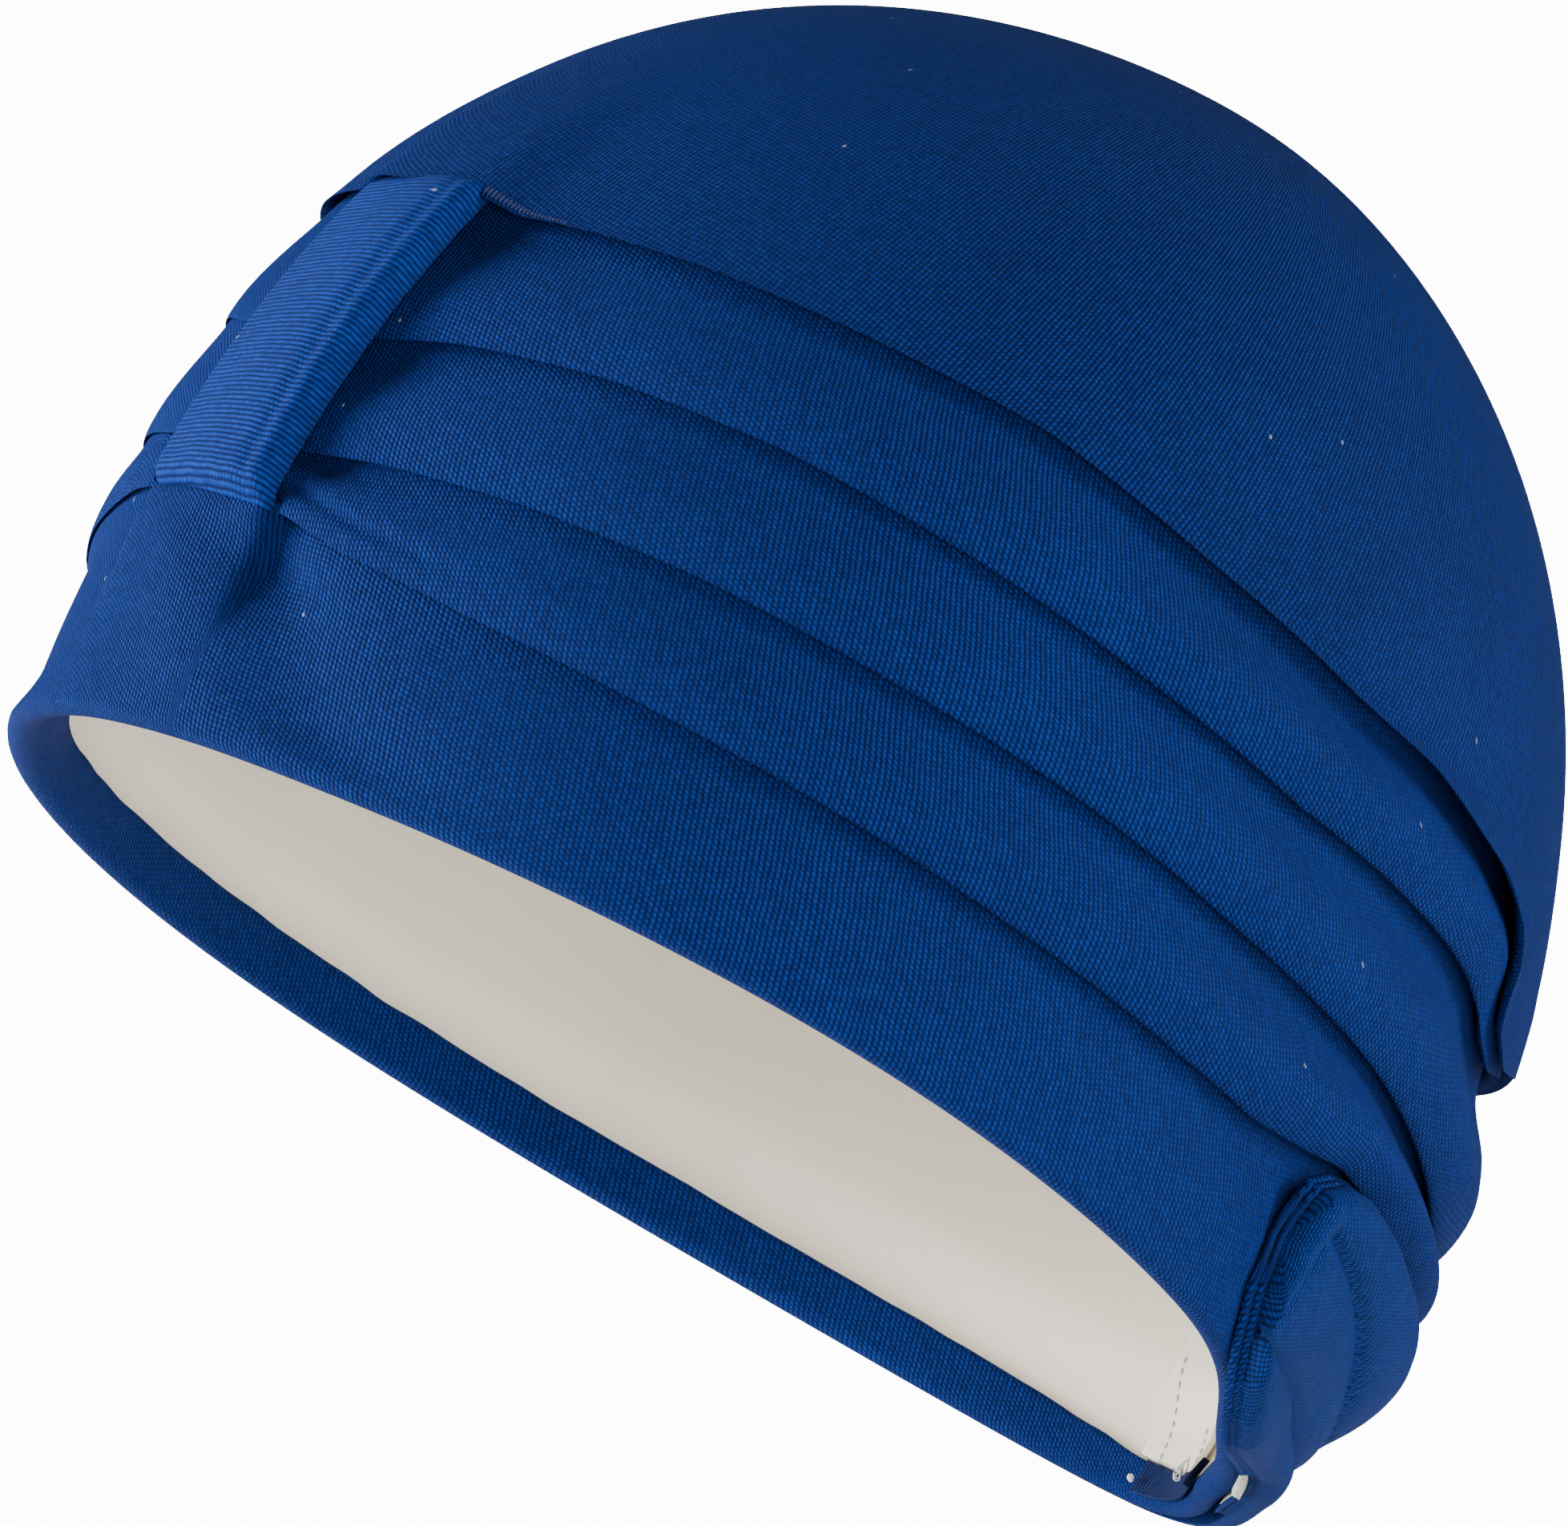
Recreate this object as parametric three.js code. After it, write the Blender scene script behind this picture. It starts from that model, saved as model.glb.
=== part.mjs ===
import * as THREE from 'three';

// A pleated swim cap in its worn form. Lengths are in millimetres. An angle
// is in degrees round the head, from the front towards the wearer's left. A
// height is measured from the plane of the rim towards the crown, and an
// offset is measured outwards from the form that the cap is stretched to.

// The stretched form.
const rimLength = 200;
const rimWidth = 143.2;
const crownHeight = 152;
const widestForward = 7.7;
const templeHollow = 10;
const sideRise = 3.5;
const frontDrop = 3.2;
const napeDip = 1.4;
const napeDipPower = 12;
const crownLean = 6.9;
const foreheadFullness = 3.14;
const napeFullness = 2.8;
const foreheadSwell = 0.18;
const napeSwell = 0.12;
const wornTilt = 31.9;

// The cloth.
const clothWall = 1.2;
const foldedEdge = 2.6;
const liningWall = 1.0;
const pieceGap = 0.35;
const looseGap = 0.7;
const lap = 4.5;
const frontFoldDepth = 0.4;
const backFoldDepth = 2.6;
const lipStand = 0.5;
const lipCurl = 0.7;
const backFoldAngle = 140;
const hiddenStart = 124;
const hiddenRun = 9;
const hiddenSink = 1.8;
const foldPuff = 1.5;
const puffFull = 0.3;
const puffFade = 0.42;
const puffEnd = 0.76;
const shortestFold = 9;
const crownSettle = 26;
const napeAngle = 180;

// The folded rim.
const hemHeight = 8.3;
const hemRoll = 1.4;
const hemShoulder = 0.56;
const drapeDepth = 2.2;
const drapeWidth = 8;
const drapeLowAngle = 40;
const drapeHighAngle = 20;
const drapeEnd = 0.25;
const hollowDepth = 1.7;
const hollowAngle = -19;
const hollowWidth = 13;
const liningStep = 0.5;

// The upright band at the front.
const frontBandAngle = 9.5;
const frontBandWidth = 25;
const frontBandStand = 0.6;
const frontBandEdge = 3;
const frontBandThin = 1.8;
const frontBandSide = 0.5;

// The strap at the nape.
const closurePull = 8.6;
const pullStartAngle = 119;
const pullEndAngle = 200;
const pullRunAngle = 32;
const strapTipAngle = 123.4;
const strapLength = 128;
const strapWidth = 32;
const strapDrop = 5;
const strapShoulder = 15;
const strapRise = 2.5;
const strapRiseStart = 0.18;
const strapRiseEnd = 0.42;
const strapWall = 3.2;
const strapSide = 0.35;
const strapTipBorder = 0.4;
const patchDip = 0.9;
const patchInset = 5.5;

// The pale backing under the strap.
const backingWall = 1.0;
const backingHeight = 22;
const backingStartAngle = 145;
const backingEndAngle = 168;
const backingShow = 0.6;
const backingRise = 3.6;

// The panel and the end of the hem inside the back.
const panelStartAngle = 187;
const panelEndAngle = 197.5;
const panelTop = 46;
const hemEndStartAngle = 180;
const hemEndEndAngle = 196.5;
const hemEndWall = 1.0;

// Heights of the folds' lower edges, as shares of the crown's height. The
// angle is measured from the front band, and is the same to both sides.
const foldTable = [
  { away: 0, rim: 0.197, lower: 0.243, middle: 0.35, upper: 0.494 },
  { away: 12, rim: 0.194, lower: 0.247, middle: 0.358, upper: 0.497 },
  { away: 21, rim: 0.177, lower: 0.256, middle: 0.374, upper: 0.501 },
  { away: 34, rim: 0.166, lower: 0.266, middle: 0.39, upper: 0.511 },
  { away: 48, rim: 0.16, lower: 0.271, middle: 0.397, upper: 0.516 },
  { away: 64, rim: 0.155, lower: 0.269, middle: 0.393, upper: 0.52 },
  { away: 80, rim: 0.151, lower: 0.269, middle: 0.386, upper: 0.502 },
  { away: 96, rim: 0.151, lower: 0.265, middle: 0.384, upper: 0.493 },
  { away: 106, rim: 0.155, lower: 0.268, middle: 0.395, upper: 0.492 },
  { away: 113, rim: 0.172, lower: 0.27, middle: 0.401, upper: 0.48 },
  { away: 118, rim: 0.188, lower: 0.27, middle: 0.405, upper: 0.476 },
  { away: 123, rim: 0.191, lower: 0.268, middle: 0.406, upper: 0.462 },
  { away: 128, rim: 0.192, lower: 0.265, middle: 0.4, upper: 0.426 },
  { away: 132, rim: 0.192, lower: 0.262, middle: 0.388, upper: 0.4 },
  { away: 137, rim: 0.192, lower: 0.258, middle: 0.384, upper: 0.389 },
  { away: 142, rim: 0.192, lower: 0.255, middle: 0.4, upper: 0.403 },
  { away: 152, rim: 0.192, lower: 0.254, middle: 0.43, upper: 0.434 },
  { away: 180, rim: 0.192, lower: 0.254, middle: 0.436, upper: 0.44 },
];

// How the strap's rounded end grows from its tip: the reach to its upper and
// lower edge, as shares of half its width.
const strapEnd = [
  { along: 0, up: 0.36, down: -0.1 },
  { along: 0.012, up: 0.78, down: 0.3 },
  { along: 0.04, up: 0.92, down: 0.62 },
  { along: 0.08, up: 1.02, down: 0.86 },
  { along: 0.17, up: 1.03, down: 1 },
  { along: 0.3, up: 0.92, down: 0.88 },
  { along: 0.42, up: 0.76, down: 0.78 },
  { along: 1, up: 0.73, down: 0.77 },
];

// Stations round the head and rows up the dome, as shares.
const roundStations = 53;
const domeRows = [0, 0.04, 0.1, 0.19, 0.32, 0.47, 0.64, 0.8, 0.91];
const foldRows = [0.5, 1];
const climbRows = [0, 0.33, 0.67, 1];
const liningRowsUp = [0.17, 0.45, 0.78];
const upFrontBand = [0, 0.08, 0.25, 0.45, 0.65, 0.85, 0.95, 1];
const acrossFrontBand = [0, 0.12, 0.5, 0.88, 1];
const alongStrap = [
  0, 0.012, 0.04, 0.08, 0.15, 0.22, 0.3, 0.38, 0.46, 0.54, 0.62, 0.7, 0.78, 0.86, 0.94, 1,
];
const acrossStrap = [0, 0.07, 0.19, 0.34, 0.5, 0.66, 0.81, 0.93, 1];
const upBacking = [0, 0.19, 0.34, 0.5, 0.66, 0.81, 1];
const upPanel = [0, 0.12, 0.24, 0.36, 0.5, 0.75, 1];
const foldsToCrown = [0.33, 0.67, 1];

const degree = Math.PI / 180;

function smooth(share) {
  const s = Math.min(Math.max(share, 0), 1);
  return s * s * (3 - 2 * s);
}

// Reads a column of a table whose rows are ordered by the key.
function lookUp(table, key, column, value) {
  let last = table[0];
  for (const row of table) {
    if (row[key] >= value) {
      const span = row[key] - last[key];
      const share = span > 0 ? (value - last[key]) / span : 0;
      return last[column] + (row[column] - last[column]) * share;
    }
    last = row;
  }
  return last[column];
}

function awayFromFrontBand(angle) {
  const turn = (((angle - frontBandAngle) % 360) + 360) % 360;
  return Math.min(turn, 360 - turn);
}

function foldEdge(column, angle) {
  return crownHeight * lookUp(foldTable, 'away', column, awayFromFrontBand(angle));
}

// The stretched form: a point at an angle and a share of the crown's height.
function formPoint(angle, share) {
  const s = Math.sin(angle * degree);
  const c = Math.cos(angle * degree);
  const out = rimWidth / 2 * s - templeHollow * s * c * c;
  const back = -rimLength / 2 * c - widestForward * s * s;
  const dip = napeDip * ((1 - c) / 2) ** napeDipPower;
  const rise = s * s * (sideRise - frontDrop * c) - dip;
  const swell = share * (1 - share);
  const front = Math.sqrt(1 - share ** foreheadFullness) * (1 + foreheadSwell * swell);
  const nape = Math.sqrt(1 - share ** napeFullness) * (1 + napeSwell * swell);
  const reach = ((1 + c) * front + (1 - c) * nape) / 2;
  const lean = crownLean * share * share;
  return new THREE.Vector3(
    out * reach,
    back * reach + lean,
    crownHeight * share + rise * (1 - share),
  );
}

// A point at a height and an offset from the form.
function capPoint(angle, height, offset) {
  const step = 0.01;
  const share = Math.min(Math.max(height / crownHeight, 0), 1 - 2 * step * step);
  const low = Math.max(share - step, 0);
  const high = Math.min(share + step, 1 - step * step);
  const round = formPoint(angle + 1, share).sub(formPoint(angle - 1, share));
  const upwards = formPoint(angle, high).sub(formPoint(angle, low));
  const outwards = round.cross(upwards).normalize();
  const point = formPoint(angle, share).addScaledVector(outwards, offset);
  point.z += Math.min(height, 0);
  return point;
}

// How far the fastened strap draws the nape in.
function pullAt(angle, height) {
  const turn = ((angle % 360) + 360) % 360;
  const into = smooth((turn - pullStartAngle) / pullRunAngle);
  const outOf = smooth((pullEndAngle - turn) / pullRunAngle);
  const fade = 1 - smooth(height / foldEdge('rim', angle));
  return closurePull * into * outOf * fade;
}

// How deep the folds are, shallow at the front band and deep at the back.
function foldDepth(angle) {
  const backness = smooth(awayFromFrontBand(angle) / backFoldAngle);
  return frontFoldDepth + (backFoldDepth - frontFoldDepth) * backness;
}

// Where a fold's hidden upper part lies under the lip above it.
function tuckOffset(angle) {
  return lipStand - clothWall - pieceGap - foldDepth(angle);
}

// A soft valley that slants down the rim band beside the front band, and a
// hollow on the band's other side.
function drapeAt(angle, height) {
  const edge = foldEdge('rim', angle);
  const share = height / edge;
  const centre = drapeLowAngle + (drapeHighAngle - drapeLowAngle) * share;
  const turn = ((angle + 180) % 360 + 360) % 360 - 180;
  const aside = (turn - centre) / drapeWidth;
  const beyond = (turn - hollowAngle) / hollowWidth;
  const depth = drapeDepth * Math.exp(-aside * aside) + hollowDepth * Math.exp(-beyond * beyond);
  return depth * smooth(share / drapeEnd) * smooth((1 - share) / drapeEnd);
}

// Where a height lies between the hem's top and the rim band's visible edge.
const climbStart = hemHeight + clothWall;

function climbShare(angle, height) {
  return (height - climbStart) / (foldEdge('rim', angle) - climbStart);
}

function climbHeight(angle, share) {
  return climbStart + (foldEdge('rim', angle) - climbStart) * share;
}

function rimBandOffset(angle, height) {
  const tuck = tuckOffset(angle) * smooth(climbShare(angle, height));
  return tuck - pullAt(angle, height) - drapeAt(angle, height);
}

function mesh(name, positions, faces, material) {
  const geometry = new THREE.BufferGeometry();
  const numbers = positions.flatMap((p) => [p.x, p.y, p.z]);
  geometry.setAttribute('position', new THREE.Float32BufferAttribute(numbers, 3));
  geometry.setIndex(faces);
  geometry.computeVertexNormals();
  const made = new THREE.Mesh(geometry, material);
  made.name = name;
  return made;
}

function quad(faces, a, b, c, d) {
  faces.push(a, b, c, a, c, d);
}

// A strip between two stations, split along the same diagonal on both faces
// of a wall, so that walls that lie close keep their gap.
function strip(faces, lowHere, lowNext, highHere, highNext, outwards) {
  if (outwards) {
    faces.push(lowHere, lowNext, highNext, lowHere, highNext, highHere);
  } else {
    faces.push(lowHere, highNext, lowNext, lowHere, highHere, highNext);
  }
}

// A ring whose closed section is given at each station: points with a height
// and an offset, up the outside and down the inside.
function ringMesh(name, sectionAt, material) {
  const positions = [];
  const faces = [];
  const first = sectionAt(0);
  const count = first.length;
  for (let i = 0; i < roundStations; i += 1) {
    const angle = i * 360 / roundStations;
    const section = sectionAt(angle);
    for (const at of section) {
      positions.push(capPoint(angle, at.height, at.offset));
    }
  }
  for (let i = 0; i < roundStations; i += 1) {
    const next = (i + 1) % roundStations;
    for (let j = 0; j < count; j += 1) {
      const k = (j + 1) % count;
      const rising = first[k].height > first[j].height;
      const low = rising ? j : k;
      const high = rising ? k : j;
      strip(faces, i * count + low, next * count + low, i * count + high, next * count + high, rising);
    }
  }
  return mesh(name, positions, faces, material);
}

// A dome of cloth: the section runs up the outside to the pole and, from the
// pole again, down the inside.
function domeMesh(name, outsideAt, insideAt, outerPole, innerPole, material) {
  const positions = [];
  const faces = [];
  let outer = 0;
  let inner = 0;
  for (let i = 0; i < roundStations; i += 1) {
    const angle = i * 360 / roundStations;
    const outside = outsideAt(angle);
    const inside = insideAt(angle);
    outer = outside.length;
    inner = inside.length;
    for (const at of [...outside, ...inside]) {
      positions.push(capPoint(angle, at.height, at.offset));
    }
  }
  const count = outer + inner;
  const top = positions.length;
  positions.push(formPoint(0, 1).setZ(crownHeight + outerPole));
  positions.push(formPoint(0, 1).setZ(crownHeight + innerPole));
  for (let i = 0; i < roundStations; i += 1) {
    const here = i * count;
    const next = ((i + 1) % roundStations) * count;
    for (let j = 0; j < outer - 1; j += 1) {
      strip(faces, here + j, next + j, here + j + 1, next + j + 1, true);
    }
    faces.push(here + outer - 1, next + outer - 1, top);
    for (let j = outer; j < count - 1; j += 1) {
      strip(faces, here + j, next + j, here + j + 1, next + j + 1, false);
    }
    faces.push(next + count - 1, here + count - 1, top + 1);
    quad(faces, here + outer, next + outer, next, here);
  }
  return mesh(name, positions, faces, material);
}

// A closed sheet over a grid: the top face, the under face and its four edges.
function sheetMesh(name, outside, inside, material) {
  const rows = outside.length;
  const columns = outside[0].length;
  const positions = [...outside.flat(), ...inside.flat()];
  const under = rows * columns;
  const faces = [];
  for (let i = 0; i < rows - 1; i += 1) {
    for (let j = 0; j < columns - 1; j += 1) {
      const a = i * columns + j;
      const b = a + columns;
      quad(faces, a, b, b + 1, a + 1);
      quad(faces, under + a, under + a + 1, under + b + 1, under + b);
    }
  }
  for (let i = 0; i < rows - 1; i += 1) {
    const a = i * columns;
    const b = a + columns;
    quad(faces, a, under + a, under + b, b);
    const c = a + columns - 1;
    const d = b + columns - 1;
    quad(faces, c, d, under + d, under + c);
  }
  for (let j = 0; j < columns - 1; j += 1) {
    quad(faces, j, j + 1, under + j + 1, under + j);
    const e = (rows - 1) * columns + j;
    quad(faces, e, under + e, under + e + 1, e + 1);
  }
  return mesh(name, positions, faces, material);
}

// One fold of the knit: its lower edge curls in, the cloth swells above it and
// then settles to a flat part that is tucked under the next fold.
function foldOffset(angle, edge, top, height, hidden) {
  const settle = smooth((height - edge - lap) / (top - edge - 2 * lap));
  const curl = lipCurl * foldDepth(angle) * (1 - smooth((height - edge) / lap)) * (1 - hidden);
  const lip = lipStand - hiddenSink * hidden;
  const puff = puffAt(angle, edge, top, height) * (1 - hidden);
  return lip + (tuckOffset(angle) - lip) * settle - curl + puff;
}

// At the back a fold swells between its lip and the next one.
function puffAt(angle, edge, top, height) {
  const share = (height - edge) / (top - edge);
  const backness = smooth(awayFromFrontBand(angle) / backFoldAngle);
  const fade = 1 - smooth((share - puffFade) / (puffEnd - puffFade));
  return foldPuff * backness * backness * smooth(share / puffFull) * fade;
}

// At the back the crown hangs over the upper fold, which lies flat there.
function hiddenAt(angle, column) {
  return column === 'middle' ? smooth((awayFromFrontBand(angle) - hiddenStart) / hiddenRun) : 0;
}

function foldTop(angle, column, above) {
  const edge = foldEdge(column, angle);
  return Math.max(foldEdge(above, angle), edge + shortestFold) + lap;
}

function foldMesh(name, column, above, material) {
  return ringMesh(name, (angle) => {
    const edge = foldEdge(column, angle);
    const top = foldTop(angle, column, above);
    const hidden = hiddenAt(angle, column);
    const lipHeights = [edge + clothWall / 2, edge + lap / 2, edge + lap];
    const free = top - lap - (edge + lap);
    const heights = [...lipHeights, ...foldRows.map((s) => edge + lap + free * s), top];
    const outside = heights.map((height) => ({
      height,
      offset: foldOffset(angle, edge, top, height, hidden),
    }));
    const inside = heights.map((height) => ({
      height,
      offset: foldOffset(angle, edge, top, height, hidden) - clothWall,
    }));
    const lip = { height: edge, offset: foldOffset(angle, edge, top, edge, hidden) - clothWall / 2 };
    return [lip, ...outside, ...inside.reverse()];
  }, material);
}

// The crown's lip laps over the upper fold, and clears it where the two run
// together at the back.
function crownOffset(angle, height) {
  const edge = foldEdge('upper', angle);
  const curl = lipCurl * foldDepth(angle) * (1 - smooth((height - edge) / lap));
  const lip = lipStand * (1 - smooth((height - edge - lap) / crownSettle)) - curl;
  const foldLow = foldEdge('middle', angle);
  const hidden = hiddenAt(angle, 'middle');
  const foldHigh = foldTop(angle, 'middle', 'upper');
  const near = [height, height - lap / 2, height - lap];
  const fold = Math.max(...near.map((at) => foldOffset(angle, foldLow, foldHigh, at, hidden)));
  const beyond = smooth((height - foldHigh) / crownSettle);
  const clear = (fold + looseGap + clothWall) * (1 - beyond);
  return Math.max(lip, clear);
}

function crownRows(angle) {
  const edge = foldEdge('upper', angle);
  return domeRows.map((share) => edge + (crownHeight - edge) * share);
}

// How far in the lining lies: flat in the hem's slot, then clear of the folds.
function liningOffset(angle, height) {
  const inHem = -clothWall - pieceGap;
  const underFolds = tuckOffset(angle) - clothWall - pieceGap;
  const step = smooth(climbShare(angle, height) / liningStep);
  return inHem + (underFolds - inHem) * step - pullAt(angle, height) - drapeAt(angle, height);
}

function liningRows(angle) {
  const edge = foldEdge('rim', angle);
  const upper = foldEdge('upper', angle);
  const climb = climbRows.map((share) => climbHeight(angle, share));
  const turned = [hemRoll + pieceGap, hemHeight / 2, ...climb];
  const between = foldsToCrown.map((share) => edge + (upper - edge) * share);
  const dome = liningRowsUp.map((share) => upper + (crownHeight - upper) * share);
  return [...turned, ...between, ...dome];
}

const knit = new THREE.MeshStandardMaterial({ color: 0x123f94, roughness: 0.85, metalness: 0 });
const ribbedKnit = new THREE.MeshStandardMaterial({ color: 0x1c469c, roughness: 0.85, metalness: 0 });
const darkKnit = new THREE.MeshStandardMaterial({ color: 0x0b1c4e, roughness: 0.9, metalness: 0 });
const creamFilm = new THREE.MeshStandardMaterial({ color: 0xe4dccb, roughness: 0.6, metalness: 0 });
const paleTape = new THREE.MeshStandardMaterial({ color: 0xc8c6bb, roughness: 0.9, metalness: 0 });

function makeCrown() {
  const outside = (angle) => crownRows(angle).map((height) => ({
    height: height + clothWall / 2 * (height > foldEdge('upper', angle) ? 0 : 1),
    offset: crownOffset(angle, height),
  }));
  const inside = (angle) => crownRows(angle).map((height) => ({
    height,
    offset: crownOffset(angle, height) - clothWall,
  }));
  return domeMesh('crown', outside, inside, 0, -clothWall, knit);
}

function makeLining() {
  const outside = (angle) => liningRows(angle).map((height) => ({
    height,
    offset: liningOffset(angle, height),
  }));
  const inside = (angle) => liningRows(angle).map((height) => ({
    height,
    offset: liningOffset(angle, height) - liningWall,
  }));
  const pole = tuckOffset(napeAngle) - clothWall - pieceGap;
  return domeMesh('lining', outside, inside, pole, pole - liningWall, creamFilm);
}

// The inner leg of the hem lies inside the lining's slot.
function hemInnerOffset(angle, height) {
  return liningOffset(angle, Math.min(height, hemHeight)) - liningWall - pieceGap;
}

function makeRimBand() {
  return ringMesh('rim_band', (angle) => {
    const edge = foldEdge('rim', angle);
    const climb = climbRows.map((share) => climbHeight(angle, share));
    const outerHeights = [hemShoulder, hemHeight / 2, ...climb, edge + lap];
    const outside = outerHeights.map((height) => ({
      height,
      offset: rimBandOffset(angle, height),
    }));
    const innerHeights = [...outerHeights.slice(1).reverse(), hemRoll];
    const back = innerHeights.map((height) => ({
      height,
      offset: rimBandOffset(angle, height) - clothWall,
    }));
    const leg = hemInnerOffset(angle, 0);
    const legMiddle = hemInnerOffset(angle, hemHeight / 2);
    const legTop = hemInnerOffset(angle, hemHeight);
    const hem = [
      { height: hemRoll, offset: leg },
      { height: hemHeight / 2, offset: legMiddle },
      { height: hemHeight, offset: legTop },
      { height: hemHeight, offset: legTop - liningWall },
      { height: hemHeight / 2, offset: legMiddle - liningWall },
      { height: hemShoulder, offset: leg - liningWall },
      { height: 0, offset: leg - liningWall / 2 },
      { height: 0, offset: rimBandOffset(angle, 0) - clothWall / 2 },
    ];
    return [...outside, ...back, ...hem];
  }, knit);
}

// Points of a sheet that lies between two angles.
function anglesBetween(start, end) {
  const step = 360 / roundStations;
  const count = Math.max(Math.round((end - start) / step), 2);
  return Array.from({ length: count + 1 }, (_, i) => start + (end - start) * i / count);
}

// Millimetres along the form's surface for one degree, at an angle and height.
function mmPerDegree(angle, height) {
  return capPoint(angle + 0.5, height, 0).distanceTo(capPoint(angle - 0.5, height, 0));
}

function makeFrontBand() {
  const middle = (foldEdge('rim', frontBandAngle) + foldEdge('upper', frontBandAngle)) / 2;
  const half = frontBandWidth / 2 / mmPerDegree(frontBandAngle, middle);
  const grid = (extra) => upFrontBand.map((share) => acrossFrontBand.map((across) => {
    const angle = frontBandAngle + (2 * across - 1) * half;
    const foot = foldEdge('rim', angle) + pieceGap;
    const head = foldEdge('upper', angle) - pieceGap;
    const height = foot + (head - foot) * share;
    const side = across === 0 || across === 1 ? frontBandSide : 1;
    const thick = side * (frontBandThin + (frontBandEdge - frontBandThin) * across);
    const under = lipStand + pieceGap + frontBandStand * across * 4 * share * (1 - share);
    return capPoint(angle, height, under + (extra ? thick : 0));
  }));
  return sheetMesh('front_band', grid(true).reverse(), grid(false).reverse(), ribbedKnit);
}

function strapAngleAt(along) {
  let angle = strapTipAngle;
  let left = strapLength * along;
  while (left > 0) {
    const step = mmPerDegree(angle, strapWidth / 2);
    angle += Math.min(left / step, 1);
    left -= step;
  }
  return angle;
}

function underStrap(angle, height) {
  return rimBandOffset(angle, Math.max(height, 0)) + pieceGap;
}

// The strap bridges the tuck below the folds, and is drawn in with the nape.
function strapBase(angle, height) {
  const low = Math.min(height, strapShoulder);
  return underStrap(angle, low) + pullAt(angle, low) - pullAt(angle, height);
}

function makeStrap() {
  const lift = backingWall + looseGap;
  const grid = (extra) => alongStrap.map((along) => {
    const angle = strapAngleAt(along);
    const risen = strapRise * smooth((along - strapRiseStart) / (strapRiseEnd - strapRiseStart));
    const middle = strapWidth / 2 - strapDrop + risen;
    const up = lookUp(strapEnd, 'along', 'up', along) * strapWidth / 2;
    const down = lookUp(strapEnd, 'along', 'down', along) * strapWidth / 2;
    return acrossStrap.map((across) => {
      const height = middle - down + (up + down) * across;
      const distance = Math.min(across, 1 - across) * (up + down);
      const inFromTip = along * strapLength;
      const border = Math.min(distance, inFromTip + strapTipBorder);
      const round = Math.sqrt(1 - (1 - Math.min(border / foldedEdge, 1)) ** 2);
      const dip = patchDip * smooth((border - patchInset + foldedEdge) / foldedEdge);
      const pad = extra ? strapWall * (strapSide + (1 - strapSide) * round) - dip : 0;
      return capPoint(angle, height, strapBase(angle, height) + lift + pad);
    });
  });
  return sheetMesh('closure_strap', grid(true), grid(false), knit);
}

function makeBacking() {
  const low = -strapDrop - backingShow;
  const heights = upBacking.map((share) => low + backingHeight * share);
  const angles = anglesBetween(backingStartAngle, backingEndAngle);
  const grid = (extra) => angles.map((angle, i) => heights.map((height) => {
    const risen = height + backingRise * i / (angles.length - 1);
    return capPoint(angle, risen, underStrap(angle, risen) + extra);
  }));
  return sheetMesh('strap_backing', grid(backingWall), grid(0), paleTape);
}

function makeLiningPanel() {
  const low = hemHeight + 2 * clothWall;
  const heights = upPanel.map((share) => low + (panelTop - low) * share);
  const inner = (angle, height) => liningOffset(angle, height) - liningWall - looseGap;
  const angles = anglesBetween(panelStartAngle, panelEndAngle);
  const grid = (extra) => angles.map((angle) => heights.map((height) =>
    capPoint(angle, height, inner(angle, height) - extra)));
  return sheetMesh('lining_panel', grid(0), grid(liningWall), creamFilm);
}

function makeHemEnd() {
  const heights = [hemRoll, hemHeight / 2, hemHeight];
  const inner = (angle, height) => hemInnerOffset(angle, height) - liningWall - pieceGap;
  const angles = anglesBetween(hemEndStartAngle, hemEndEndAngle);
  const grid = (extra) => angles.map((angle) => heights.map((height) =>
    capPoint(angle, height, inner(angle, height) - extra)));
  return sheetMesh('hem_end', grid(0), grid(hemEndWall), darkKnit);
}

// The cap leans back as it is worn, and the origin is where the head touches
// the lining at the crown.
const worn = new THREE.Group();
worn.name = 'swim_cap';
const tilted = new THREE.Group();
tilted.name = 'worn_tilt';
tilted.rotation.x = -wornTilt * degree;
const seatDepth = tuckOffset(napeAngle) - clothWall - pieceGap - liningWall;
const seat = formPoint(0, 1);
seat.z += seatDepth;
seat.applyEuler(tilted.rotation);
tilted.position.copy(seat.negate());
tilted.add(
  makeCrown(),
  foldMesh('pleat_upper', 'middle', 'upper', knit),
  foldMesh('pleat_middle', 'lower', 'middle', knit),
  foldMesh('pleat_lower', 'rim', 'lower', knit),
  makeRimBand(),
  makeFrontBand(),
  makeLining(),
  makeLiningPanel(),
  makeHemEnd(),
  makeStrap(),
  makeBacking(),
);
worn.add(tilted);

export default worn;
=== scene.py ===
"""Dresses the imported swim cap: knit cloth in folds, a film lining, a padded strap and stitching.

Lengths are in metres. An angle is in degrees round the head, from the front towards the wearer's
left. A height is measured from the plane of the rim towards the crown, and an offset outwards from
the form that the cap is stretched to. The cap is shaped upright, and then leaned back as it is worn.
"""

import math

import bmesh
import bpy
from bpy.props import FloatProperty, FloatVectorProperty, IntProperty, PointerProperty
from mathutils import Matrix, Vector, noise


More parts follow.
